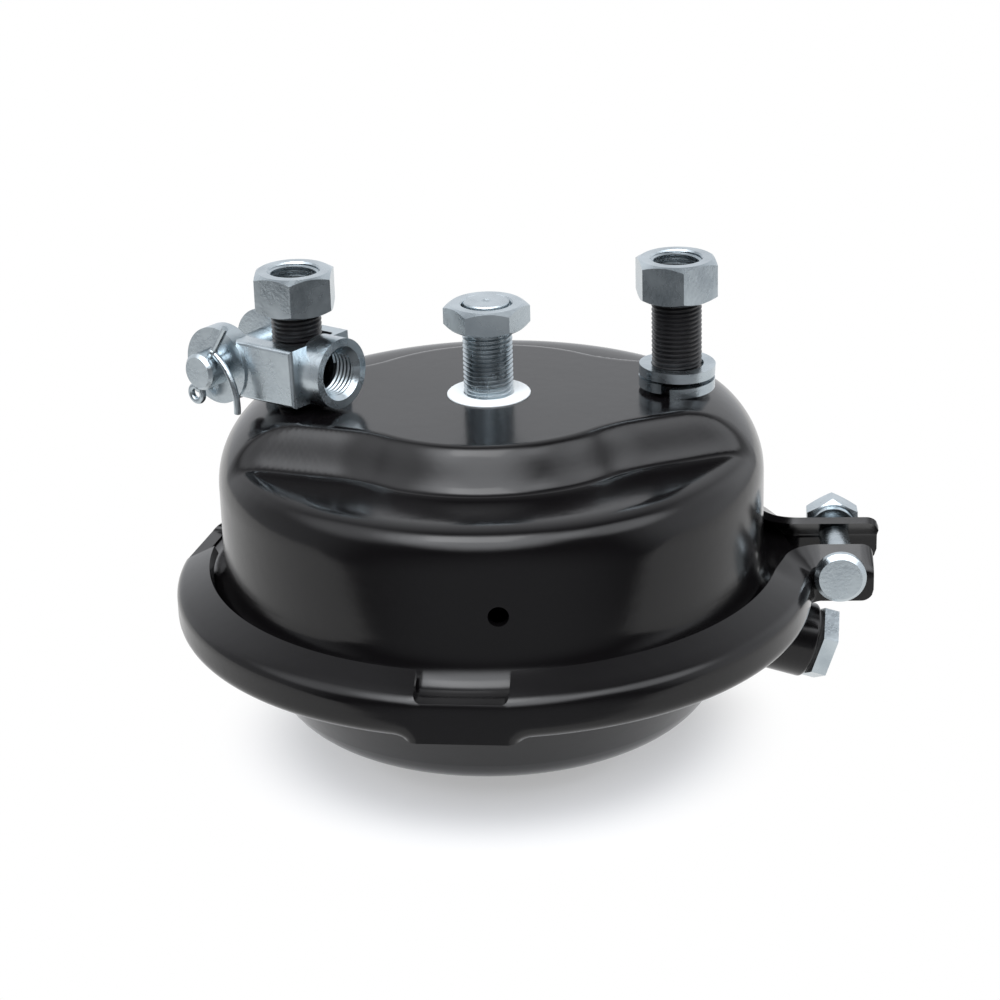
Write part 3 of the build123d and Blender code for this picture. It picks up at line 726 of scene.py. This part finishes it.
def hung(vee, band, share):
    """The V with its lower leg let down to hang straight, as at a notch."""
    half, low = band.sheet / 2, band.strip_low
    corner = vee[OUTER_CORNER].y
    targets = {
        OUTER_BEND: Vector((half, (corner + low) / 2)),
        OUTER_LIP: Vector((half, low)),
        INNER_LIP: Vector((-half, low)),
        INNER_BEND: Vector((-half, (corner + low) / 2)),
        INNER_CORNER: Vector((-half, corner)),
    }
    return [p.lerp(targets[k], share) if k in targets else p for k, p in enumerate(vee)]


def run_points(run):
    """Points along a straight run of two controls or a bend of three, without its end."""
    if len(run) == 2:
        return [run[0].lerp(run[1], k / STRAIGHT_PARTS) for k in range(STRAIGHT_PARTS)]
    start, corner, end = run
    shares = [k / BEND_PARTS for k in range(BEND_PARTS)]
    return [start.lerp(corner, t).lerp(corner.lerp(end, t), t) for t in shares]


def section_outline(controls):
    """Closed outline through 16 control points: straight runs joined by bends."""
    outline = []
    for side in (controls[:8], controls[8:]):
        for run in (side[0:2], side[1:4], side[3:5], side[4:7], side[6:8]):
            outline += run_points(run)
        outline.append(side[-1])
    return outline


def turned(vector, radians):
    """A plan vector turned anticlockwise."""
    c, s = math.cos(radians), math.sin(radians)
    return Vector((vector.x * c - vector.y * s, vector.x * s + vector.y * c))


def lug_stations(side, band):
    """Stations from the band's round to a lug's tip: side is 1 for the far lug, -1 for the near one."""
    spine = band.radius - band.sheet / 2
    along = turned(Vector((1, 0)), band.lug_turn)
    across = turned(Vector((0, 1)), band.lug_turn)
    bolt = Vector((band.bolt_x, band.lug_shift))
    plate = bolt.dot(across) + side * (band.lug_gap + band.sheet) / 2
    centre_across = plate + side * band.lug_bend
    reach = math.sqrt((spine + band.lug_bend) ** 2 - centre_across**2)
    start = math.atan2(centre_across, reach)
    tangent = Vector((math.cos(start), math.sin(start)))
    flare = band.lug_flare * spine
    bend_run = band.lug_bend * (math.pi / 2 - side * start)
    stations = []
    # the first half of the steps runs along the round, the second round the bend
    for step in range(LUG_BEND_STEPS + 1):
        share = step / LUG_BEND_STEPS
        run = (2 * share - 1) * (flare if share < 0.5 else bend_run)
        if run <= 0:
            out = turned(tangent, -side * run / spine)
            spot = out * spine
        else:
            out = turned(tangent, side * run / band.lug_bend)
            spot = tangent * (spine + band.lug_bend) - out * band.lug_bend
        spot, out = turned(spot, band.lug_turn), turned(out, band.lug_turn)
        stations.append(Station(spot, out, share, 1.0))
    length = bolt.dot(along) + (band.near_reach if side < 0 else band.far_reach) - reach
    corner = band.lug_corner
    for step in range(1, LUG_PLATE_STEPS + 1):
        at = length * (step / LUG_PLATE_STEPS) ** TIP_CROWDING
        left = length - at
        drop = corner - math.sqrt(corner**2 - max(corner - left, 0) ** 2)
        stations.append(Station(spot + along * at, out, 1.0, 1 - drop / (band.lug_height / 2)))
    return stations


def notch_state(turn, band):
    """How far the band is hung and drawn in at a turn round the rod's axis."""
    half = math.asin(band.notch_length / 2 / band.radius)
    hang, draw = 0.0, 0.0
    for middle in band.notch_turns:
        off = abs((turn - middle + math.pi) % (2 * math.pi) - math.pi)
        hang = max(hang, 1 - smooth_step((off - half) * band.radius / band.notch_blend))
        if off < half:
            draw = band.radius * (math.cos(half) / math.cos(off) - 1)
    return hang, draw


def band_ring(station, vee, flat, band):
    """Points of the band's section at a station, between the V and the lug's flat plate."""
    # the upper leg opens in part, the wall and the lower leg open later and go quite flat
    top = smooth_step(station.unfold) * band.lug_opening
    low = smooth_step(2 * station.unfold - 1)
    shares = [top] * 4 + [low] * 8 + [top] * 4
    controls = [a.lerp(b, k) for a, b, k in zip(hung(vee, band, station.hang), flat, shares)]
    ring = []
    for p in section_outline(controls):
        at = station.spot + station.out * (p.x + station.draw)
        ring.append((at.x, at.y, band.lug_z + (p.y - band.lug_z) * station.tall))
    return ring


def band_mesh(band):
    """The whole band: far lug, the long way round, near lug."""
    far_lug, near_lug = lug_stations(1, band), lug_stations(-1, band)
    first, last = [math.atan2(lug[0].spot.y, lug[0].spot.x) for lug in (far_lug, near_lug)]
    spine = band.radius - band.sheet / 2
    stations = far_lug[::-1]
    for k in range(1, BAND_STEPS):
        turn = first + (last + 2 * math.pi - first) * k / BAND_STEPS
        out = Vector((math.cos(turn), math.sin(turn)))
        stations.append(Station(out * spine, out, 0.0, 1.0, *notch_state(turn, band)))
    stations += near_lug
    vee, flat = band_controls(band)
    rings = [band_ring(station, vee, flat, band) for station in stations]
    return capped_solid("clamp_band_round", rings)


def notch_cutter(turn, band):
    """Block that clears the upper leg at a notch, its lower corners rounded."""
    half, corner = band.notch_length / 2, band.notch_corner
    top, low = band.lug_z + CUTTER_UPWARD, band.strip_top + corner
    outline = [(-half, top), (half, top)]
    for middle, start in ((half - corner, 0.0), (corner - half, -math.pi / 2)):
        for a in quarter_turn(NOTCH_CORNER_STEPS):
            outline.append((middle + corner * math.cos(start - a), low + corner * math.sin(start - a)))
    rings = []
    for radius in (band.radius - CUTTER_INWARD, band.radius + CUTTER_OUTWARD):
        spots = [turned(Vector((radius, across)), turn) for across, _ in outline]
        rings.append([(spot.x, spot.y, height) for spot, (_, height) in zip(spots, outline)])
    return capped_solid("notch_cutter", rings)


# ---------------------------------------------------------------- the panel's values
class ChamberDomeSizes(bpy.types.PropertyGroup):
    """Form of the pressed steel dome."""

    radius: length_value("Radius", "Outside of the dome's wall", 88.0)
    shoulder: length_value("Shoulder", "Round between roof and wall", 26.0)
    sheet: length_value("Sheet", "Thickness of the steel", 3.0)
    land_radius: length_value("Land Radius", "Raised land at the foot of its slope", 56.5)
    land_blend: length_value("Land Blend", "Hollow bend from the round land into its wing", 42.0)
    land_turn: angle_value("Land Turn", "Round part of the land to each side of the middle", 40.0)
    wing_slope: angle_value("Wing Slope", "Edge of the wing to the stud line", 20.0)
    front_step: length_value("Front Step", "Depth of the front ledge", 13.0)
    rear_step: length_value("Rear Step", "Depth of the rear ledge", 7.5)
    slope_width: length_value("Slope Width", "Reach of the slope into the land", 9.0)
    foot_width: length_value("Foot Width", "Reach of the slope onto the ledge", 2.0)
    crest_width: length_value("Crest Width", "Softness of the ledge's outer edge", 8.0)
    flare_width: length_value("Flare Width", "Reach of the bend from the wall into the rim", 8.5)
    flare_height: length_value("Flare Height", "Height of the bend from the wall into the rim", 11.0)
    bush_hole: length_value("Bush Hole", "Radius of the hole for the rod's bush", 13.45)
    breather_radius: length_value("Breather Radius", "Radius of the breather holes", 3.2)
    breather_level: length_value("Breather Level", "Height of the breather holes; the roof is at 0", -39.0)


class ChamberBandSizes(bpy.types.PropertyGroup):
    """Form of the clamp band."""

    radius: length_value("Radius", "Outside of the band", 104.0)
    sheet: length_value("Sheet", "Thickness of the steel", 2.8)
    rim_radius: length_value("Rim Radius", "Rims that the band holds", 99.7)
    rim_top: length_value("Rim Top", "Upper side of the housing's rim", -61.5)
    rim_low: length_value("Rim Low", "Lower side of the cover's rim", -70.0)
    nest_gap: length_value("Gap", "Between the band and the rims", 0.25)
    bend: length_value("Bend", "Outer bend between wall and legs", 5.0)
    top_lean: angle_value("Upper Lean", "Upper leg off level", 28.0)
    low_lean: angle_value("Lower Lean", "Lower leg off level", 24.0)
    top_lip_radius: length_value("Upper Lip", "Edge of the upper leg", 93.0)
    low_lip_radius: length_value("Lower Lip", "Edge of the lower leg", 99.3)
    notch_length: length_value("Notch Length", "Gap in the legs", 28.5)
    notch_corner: length_value("Notch Corner", "Rounded lower corners of a notch", 2.2)
    notch_blend: length_value("Notch Blend", "Band over which the lower leg is let down", 7.0)
    strip_top: length_value("Strip Top", "Upper edge of the wall at a notch", -60.8)
    strip_low: length_value("Strip Low", "Lower edge of the wall at a notch", -73.7)
    notch_turns: bpy.props.FloatVectorProperty(
        name="Notch Turns",
        description="Places of the notches round the rod's axis",
        default=[math.radians(a) for a in (-96.8, 164.5, 66.0)],
        subtype="EULER",
        size=3,
    )
    lug_turn: angle_value("Lug Turn", "Clamping plane to the stud line", -4.0)
    lug_flare: angle_value("Lug Flare", "Band over which its legs start to unfold", 7.0)
    lug_shift: length_value("Lug Shift", "Middle of the gap off the stud line", 3.4)
    lug_gap: length_value("Lug Gap", "Between the two lugs", 31.0)
    lug_height: length_value("Lug Height", "Height of a lug's plate", 19.0)
    lug_z: length_value("Lug Level", "Height of the clamp bolt's axis", -61.0)
    lug_bend: length_value("Lug Bend", "Bend from the round into the lug", 4.5)
    lug_corner: length_value("Lug Corner", "Rounded corners of a lug", 4.0)
    near_reach: length_value("Near Reach", "Near lug beyond the bolt's axis", 11.0)
    far_reach: length_value("Far Reach", "Far lug beyond the bolt's axis", 14.5)
    bolt_x: length_value("Bolt Place", "Bolt's axis from the rod's axis", 113.2)
    lug_opening: bpy.props.FloatProperty(
        name="Lug Opening",
        description="How far the upper leg is flattened in the lug: 1 is flat",
        default=0.38,
        subtype="FACTOR",
    )


class ChamberThreadSizes(bpy.types.PropertyGroup):
    """Sizes of the threads and of the pins that carry them."""

    stud_radius: length_value("Stud Radius", "Major radius of the threads on studs and push rod", 8.0)
    depth: length_value("Thread Depth", "Height of the ridge, root to crest", 0.75)
    pitch: length_value("Pitch", "Advance of the thread in one turn", 1.5)
    runout: length_value("Runout", "From a plain shank to the root of its thread", 1.0)
    stud_thread: length_value("Stud Thread", "Height where a stud's thread starts; the roof is at 0", -1.5)
    head_radius: length_value("Head Radius", "Radius of a stud's head, inside the housing", 12.0)
    head_height: length_value("Head Height", "Thickness of a stud's head", 5.0)
    head_bevel: length_value("Head Bevel", "Bevel of the lower edge of a stud's head", 1.0)
    rod_thread: length_value("Rod Thread Length", "Threaded length at the push rod's end", 44.0)
    bolt_radius: length_value("Bolt Radius", "Major radius of the clamp bolt", 5.0)
    bolt_depth: length_value("Bolt Thread Depth", "Height of the ridge on the clamp bolt", 0.25)
    bolt_lead: length_value("Bolt Lead", "Plain end of the clamp bolt", 1.6)
    bolt_thread: length_value("Bolt Thread Length", "Thread that shows beyond the clamp nut", 2.3)
    hole_depth: length_value("Hole Thread Depth", "Height of the ridge in the yoke and the port", 0.5)


class ChamberStudio(bpy.types.PropertyGroup):
    """Camera, floor and lamp."""

    distance: length_value("Camera Distance", "From the camera to the point that it looks at", 912.08)
    height_angle: angle_value("Camera Height", "Angle of the camera above level", 21.98)
    side_angle: angle_value("Camera Turn", "Turn of the camera from the front to the right", -0.65)
    roll_angle: angle_value("Camera Roll", "Turn of the camera about its own axis", -1.68)
    aim: bpy.props.FloatVectorProperty(
        name="Camera Aim",
        description="Point that the camera looks at",
        default=[v * MM for v in (2.53, 0.0, -37.11)],
        subtype="TRANSLATION",
        unit="LENGTH",
        size=3,
    )
    lens: bpy.props.FloatProperty(
        name="Lens",
        description="Focal length of the camera, on a sensor 36 mm wide",
        default=100.8,
        unit="CAMERA",
    )
    near_white: bpy.props.FloatProperty(
        name="Near White",
        description="Share of plain white in the floor beside the chamber's foot; it is 1 far away",
        default=0.38,
        subtype="FACTOR",
    )
    shade_start: length_value("Shade Start", "Distance from the axis where the shade starts to fade", 58.0)
    shade_end: length_value("Shade End", "Distance from the axis where the shade has faded", 100.0)
    floor_colour: bpy.props.FloatVectorProperty(
        name="Floor Colour",
        description="Colour of the floor",
        default=linear("#f6f8fc")[:3],
        subtype="COLOR",
        size=3,
    )
    lamp_size: length_value("Lamp Size", "Side of the square soft box", 700.0)
    lamp_power: bpy.props.FloatProperty(
        name="Lamp Power",
        description="Power of the soft box",
        default=4.0,
        unit="POWER",
    )


# ---------------------------------------------------------------- operators
class CHAMBER_OT_cad_finishes(bpy.types.Operator):
    """Gives each piece of the CAD model the finish of its material slot"""

    bl_idname = "chamber.cad_finishes"
    bl_label = "Finish the CAD Pieces"

    def execute(self, context):
        for entry in frame["record"]["subparts"]:
            piece = frame["nodes"][entry["node"]]
            finish_with(piece, finish(entry["material_slot"]))
        return {"FINISHED"}


class CHAMBER_OT_pressed_dome(bpy.types.Operator):
    """Forms the non-pressure housing with its soft pressed ledges and its breather holes"""

    bl_idname = "chamber.pressed_dome"
    bl_label = "Form the Dome"

    def execute(self, context):
        dome, band = context.scene.chamber_dome, context.scene.chamber_band
        surface = pressed_dome(dome, band)
        mesh = cut_sheet("pressed_dome", surface, [breather_drill(dome)], dome.sheet)
        smooth_by_angle(mesh, SHEET_CREASE)
        new_piece("nonpressure_housing_pressed", mesh, "black_ecoat", "chamber", "nonpressure_housing")
        return {"FINISHED"}


class CHAMBER_OT_clamp_band(bpy.types.Operator):
    """Forms the clamp band with its notches and the two lugs that its legs unfold into"""

    bl_idname = "chamber.clamp_band"
    bl_label = "Form the Clamp Band"

    def execute(self, context):
        band = context.scene.chamber_band
        cutters = [notch_cutter(turn, band) for turn in band.notch_turns]
        mesh = cut_sheet("clamp_band_formed", band_mesh(band), cutters)
        smooth_by_angle(mesh, SHEET_CREASE)
        new_piece("clamp_band_formed", mesh, "black_ecoat", "chamber", "clamp_band")
        return {"FINISHED"}


class CHAMBER_OT_threaded_studs(bpy.types.Operator):
    """Cuts the thread on the two mounting studs"""

    bl_idname = "chamber.threaded_studs"
    bl_label = "Thread the Studs"

    def execute(self, context):
        sizes = context.scene.chamber_threads
        for node_name in ("mounting_stud_left", "mounting_stud_right"):
            low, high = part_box(node_name)
            neck = low.z + sizes.head_height
            outline = [
                (0, low.z),
                (sizes.head_radius - sizes.head_bevel, low.z),
                (sizes.head_radius, low.z + sizes.head_bevel),
                (sizes.head_radius, neck),
                (sizes.stud_radius, neck),
                *threaded_end(sizes, sizes.stud_thread, high.z, STUD_TIP_BEVEL),
                (0, high.z),
            ]
            thread = Thread(
                root=sizes.stud_radius - sizes.depth,
                depth=sizes.depth,
                pitch=sizes.pitch,
                start=sizes.stud_thread,
                length=high.z - STUD_RIDGE_STOP - sizes.stud_thread,
            )
            name, x = node_name + "_threaded", (low.x + high.x) / 2
            threaded_pin(name, outline, thread, x, "black_phosphate", "chamber", node_name)
        return {"FINISHED"}


class CHAMBER_OT_push_rod(bpy.types.Operator):
    """Cuts the thread on the push rod's end"""

    bl_idname = "chamber.push_rod"
    bl_label = "Thread the Push Rod"

    def execute(self, context):
        sizes = context.scene.chamber_threads
        low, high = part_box("push_rod")
        start = high.z - sizes.rod_thread
        outline = [
            (0, low.z),
            (sizes.stud_radius, low.z),
            *threaded_end(sizes, start, high.z, ROD_TIP_BEVEL),
            (CENTRE_HOLE_RADIUS, high.z),
            (0, high.z - CENTRE_HOLE_DEPTH),
        ]
        thread = Thread(
            root=sizes.stud_radius - sizes.depth,
            depth=sizes.depth,
            pitch=sizes.pitch,
            start=start,
            length=sizes.rod_thread - ROD_RIDGE_STOP,
        )
        threaded_pin("push_rod_threaded", outline, thread, 0, "zinc_plate", "rod", "push_rod")
        return {"FINISHED"}


class CHAMBER_OT_stud_nut_threads(bpy.types.Operator):
    """Cuts the threads inside the two stud nuts"""

    bl_idname = "chamber.stud_nut_threads"
    bl_label = "Thread the Stud Nuts"

    def execute(self, context):
        sizes = context.scene.chamber_threads
        thread = Thread(
            root=sizes.stud_radius + NUT_THREAD_PLAY,
            depth=-sizes.depth,
            pitch=sizes.pitch,
            start=-NUT_THREAD_LENGTH,
            length=NUT_THREAD_LENGTH,
        )
        for node_name, body in (("stud_nut_left", "nut_left"), ("stud_nut_right", "nut_right")):
            low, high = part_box(node_name)
            spot = ((low.x + high.x) / 2, 0, high.z - NUT_THREAD_TOP)
            thread_piece(node_name + "_thread", thread, spot, (0, 0, 1), "zinc_plate", body)
        return {"FINISHED"}


class CHAMBER_OT_clamp_bolt_thread(bpy.types.Operator):
    """Cuts the thread on the clamp bolt's end beyond its nut"""

    bl_idname = "chamber.clamp_bolt_thread"
    bl_label = "Thread the Clamp Bolt"

    def execute(self, context):
        sizes, band = context.scene.chamber_threads, context.scene.chamber_band
        along = turned(Vector((0, 1)), band.lug_turn)
        bolt = Vector((band.bolt_x, band.lug_shift))
        end = bolt + along * ((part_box("clamp_bolt")[1].y - bolt.y) / along.y - sizes.bolt_lead)
        thread = Thread(
            root=sizes.bolt_radius - FOOT_SUNK,
            depth=sizes.bolt_depth,
            pitch=sizes.pitch,
            start=-sizes.bolt_thread,
            length=sizes.bolt_thread,
        )
        spot, axis = (end.x, end.y, band.lug_z), (along.x, along.y, 0)
        thread_piece("clamp_bolt_thread", thread, spot, axis, "zinc_plate", "chamber")
        return {"FINISHED"}


class CHAMBER_OT_hole_threads(bpy.types.Operator):
    """Cuts the threads inside the yoke's boss and the open air port"""

    bl_idname = "chamber.hole_threads"
    bl_label = "Thread the Holes"

    def execute(self, context):
        sizes = context.scene.chamber_threads
        mounts = {mount["name"]: mount for mount in frame["record"]["mounts"]}
        for name, mount, slot, body in (
            ("yoke_boss_thread", "clevis_thread", "zinc_plate", "yoke"),
            ("air_port_thread", "air_port", "black_ecoat", "chamber"),
        ):
            hole = mounts[mount]
            half = hole["dims"]["length_mm"] * MM / 2 - HOLE_THREAD_STOP
            thread = Thread(
                root=hole["dims"]["r_mm"] * MM + FOOT_SUNK,
                depth=-sizes.hole_depth,
                pitch=sizes.pitch,
                start=-half,
                length=2 * half,
            )
            thread_piece(name, thread, hole["pos_m"], hole["axis"], slot, body)
        return {"FINISHED"}


class CHAMBER_OT_studio(bpy.types.Operator):
    """Sets up the camera, the pale floor, the white background and the soft lights"""

    bl_idname = "chamber.studio"
    bl_label = "Set Up the Studio"

    def execute(self, context):
        studio = context.scene.chamber_studio
        add_camera(studio)
        add_floor(studio)
        add_lamp(studio)
        add_world()
        context.scene.view_settings.view_transform = "Standard"
        return {"FINISHED"}


# ---------------------------------------------------------------- the studio
SENSOR_WIDTH = 36.0
NEAREST_SEEN, FURTHEST_SEEN = 0.05, 50.0
FLOOR_SIDE, FLOOR_FRONT, FLOOR_BACK = 0.5, -0.17, 0.9
LAMP_PLACE = Vector((-0.15, -0.6, 1.3))
LAMP_AIM = Vector((0, 0, -0.05))

# soft lights of the room: turn and height in degrees from the front, half width in degrees, strength
ROOM_LIGHTS = {
    "back": (180.0, 20.0, 74.0, 0.98),
    "front_high": (-8.0, 56.0, 40.0, 5.2),
    "left_high": (-68.0, 50.0, 36.0, 1.8),
    "right_high": (64.0, 46.0, 26.0, 3.0),
    "front_low": (0.0, -40.0, 60.0, 0.38),
    "left": (-98.0, 8.0, 48.0, 0.5),
    "right": (96.0, 12.0, 48.0, 1.1),
}
ROOM_DARK = 0.07
ROOM_COLOUR = "#f6f8fc"
PLAIN_WHITE = "#ffffff"


def towards(turn, height):
    """Unit direction at a turn from the front to the right and a height above level, in radians."""
    level = math.cos(height)
    return (math.sin(turn) * level, -math.cos(turn) * level, math.sin(height))


def add_camera(studio):
    """Camera at its distance from the point that it looks at, with a small roll."""
    roll = studio.roll_angle
    back = Vector(towards(studio.side_angle, studio.height_angle))
    spot = Vector(studio.aim) + back * studio.distance
    right = (-back).cross(Vector((0, 0, 1))).normalized()
    up = right.cross(-back)
    across = right * math.cos(roll) + up * math.sin(roll)
    upward = up * math.cos(roll) - right * math.sin(roll)
    data = bpy.data.cameras.new("camera")
    data.lens, data.sensor_width = studio.lens, SENSOR_WIDTH
    data.clip_start, data.clip_end = NEAREST_SEEN, FURTHEST_SEEN
    camera = new_object("camera", data)
    facing = Matrix((across, upward, back)).transposed().to_4x4()
    camera.matrix_world = Matrix.Translation(spot) @ facing
    bpy.context.scene.camera = camera


def seen_rays(tree):
    """1 for rays by which the camera, a shiny or a clear surface sees, else 0."""
    path = node(tree, "ShaderNodeLightPath").outputs
    seen = path["Is Camera Ray"]
    for kind in ("Is Transmission Ray", "Is Glossy Ray"):
        seen = node(tree, "ShaderNodeMath", {0: seen, 1: path[kind]}, operation="MAXIMUM").outputs[0]
    return seen


def floor_material(studio):
    """Pale matt sheet: it shows the chamber's shade near its foot and is plain white further out."""
    made, tree, shader, place = new_material("pale_studio_floor")
    shader.inputs["Base Color"].default_value = (*studio.floor_colour, 1.0)
    shader.inputs["Roughness"].default_value = 0.7
    shader.inputs["Specular IOR Level"].default_value = 0.1
    flat = node(tree, "ShaderNodeVectorMath", {0: place, 1: (1.0, 1.0, 0.0)}, operation="MULTIPLY")
    away = node(tree, "ShaderNodeVectorMath", {0: flat.outputs["Vector"]}, operation="LENGTH")
    share = node(
        tree,
        "ShaderNodeMapRange",
        {
            "Value": away.outputs["Value"],
            "From Min": studio.shade_start,
            "From Max": studio.shade_end,
            "To Min": studio.near_white,
            "To Max": 1.0,
        },
        interpolation_type="SMOOTHSTEP",
    )
    white = node(
        tree,
        "ShaderNodeMath",
        {0: seen_rays(tree), 1: share.outputs["Result"]},
        operation="MULTIPLY",
    )
    plain_white = node(tree, "ShaderNodeEmission", {"Color": linear(PLAIN_WHITE), "Strength": 1.0})
    both = node(
        tree,
        "ShaderNodeMixShader",
        {0: white.outputs[0], 1: shader.outputs["BSDF"], 2: plain_white.outputs[0]},
    )
    output = next(n for n in tree.nodes if n.type == "OUTPUT_MATERIAL")
    tree.links.new(both.outputs[0], output.inputs["Surface"])
    return made


def add_floor(studio):
    """Flat floor under the chamber's foot."""
    foot = CAD_BOX[0][2]
    bm = bmesh.new()
    corners = (
        (-FLOOR_SIDE, FLOOR_FRONT),
        (FLOOR_SIDE, FLOOR_FRONT),
        (FLOOR_SIDE, FLOOR_BACK),
        (-FLOOR_SIDE, FLOOR_BACK),
    )
    bm.faces.new([bm.verts.new((x, y, foot)) for x, y in corners])
    floor = new_object("studio_floor", mesh_from(bm, "studio_floor"))
    finish_with(floor, floor_material(studio))


def add_lamp(studio):
    """One soft box high in front."""
    data = bpy.data.lights.new("high_softbox", "AREA")
    data.shape, data.size, data.energy = "SQUARE", studio.lamp_size, studio.lamp_power
    lamp = new_object("high_softbox", data)
    lamp.location = LAMP_PLACE
    lamp.rotation_euler = (LAMP_AIM - LAMP_PLACE).to_track_quat("-Z", "Y").to_euler()


def light_lobe(tree, direction, turn, height, width, strength):
    """Brightness of one soft light of the room, strongest in its middle; angles are in degrees."""
    middle = towards(math.radians(turn), math.radians(height))
    near = node(tree, "ShaderNodeVectorMath", {0: direction, 1: middle}, operation="DOT_PRODUCT")
    level = node(
        tree,
        "ShaderNodeMapRange",
        {
            "Value": near.outputs["Value"],
            "From Min": math.cos(math.radians(width)),
            "From Max": math.cos(math.radians(width / 4)),
            "To Min": 0.0,
            "To Max": strength,
        },
        interpolation_type="SMOOTHSTEP",
    )
    return level.outputs["Result"]


def add_world():
    """White background; the room is dark but for its soft lights."""
    world = bpy.data.worlds.new("white_studio")
    bpy.context.scene.world = world
    world.use_nodes = True
    tree = world.node_tree
    tree.nodes.clear()
    direction = node(tree, "ShaderNodeTexCoord").outputs["Generated"]
    level = ROOM_DARK
    for light in ROOM_LIGHTS.values():
        lobe = light_lobe(tree, direction, *light)
        level = node(tree, "ShaderNodeMath", {0: level, 1: lobe}, operation="ADD").outputs[0]
    room = node(tree, "ShaderNodeBackground", {"Color": linear(ROOM_COLOUR), "Strength": level})
    shown = node(tree, "ShaderNodeBackground", {"Color": linear(PLAIN_WHITE), "Strength": 1.0})
    path = node(tree, "ShaderNodeLightPath").outputs
    mixed = node(
        tree,
        "ShaderNodeMixShader",
        {0: path["Is Camera Ray"], 1: room.outputs[0], 2: shown.outputs[0]},
    )
    node(tree, "ShaderNodeOutputWorld", {"Surface": mixed.outputs[0]})


# ---------------------------------------------------------------- the add-on
class CHAMBER_PT_panel(bpy.types.Panel):
    """Buttons and values of the brake chamber"""

    bl_label = "Air Brake Chamber"
    bl_space_type = "VIEW_3D"
    bl_region_type = "UI"
    bl_category = "Chamber"

    def draw(self, context):
        for name in GROUPS:
            group = getattr(context.scene, name)
            box = self.layout.box()
            for key in group.__annotations__:
                box.prop(group, key)
        for operator in OPERATORS:
            self.layout.operator(operator.bl_idname)


GROUPS = {
    "chamber_dome": ChamberDomeSizes,
    "chamber_band": ChamberBandSizes,
    "chamber_threads": ChamberThreadSizes,
    "chamber_studio": ChamberStudio,
}
OPERATORS = (
    CHAMBER_OT_cad_finishes,
    CHAMBER_OT_pressed_dome,
    CHAMBER_OT_clamp_band,
    CHAMBER_OT_threaded_studs,
    CHAMBER_OT_push_rod,
    CHAMBER_OT_stud_nut_threads,
    CHAMBER_OT_clamp_bolt_thread,
    CHAMBER_OT_hole_threads,
    CHAMBER_OT_studio,
)
CLASSES = (*GROUPS.values(), *OPERATORS, CHAMBER_PT_panel)


def register():
    for made in CLASSES:
        bpy.utils.register_class(made)
    for name, group in GROUPS.items():
        setattr(bpy.types.Scene, name, bpy.props.PointerProperty(type=group))


def unregister():
    for name in GROUPS:
        delattr(bpy.types.Scene, name)
    for made in reversed(CLASSES):
        bpy.utils.unregister_class(made)


def main():
    register()
    bpy.ops.chamber.cad_finishes()
    bpy.ops.chamber.pressed_dome()
    bpy.ops.chamber.clamp_band()
    bpy.ops.chamber.threaded_studs()
    bpy.ops.chamber.push_rod()
    bpy.ops.chamber.stud_nut_threads()
    bpy.ops.chamber.clamp_bolt_thread()
    bpy.ops.chamber.hole_threads()
    bpy.ops.chamber.studio()


if __name__ == "__main__":
    main()
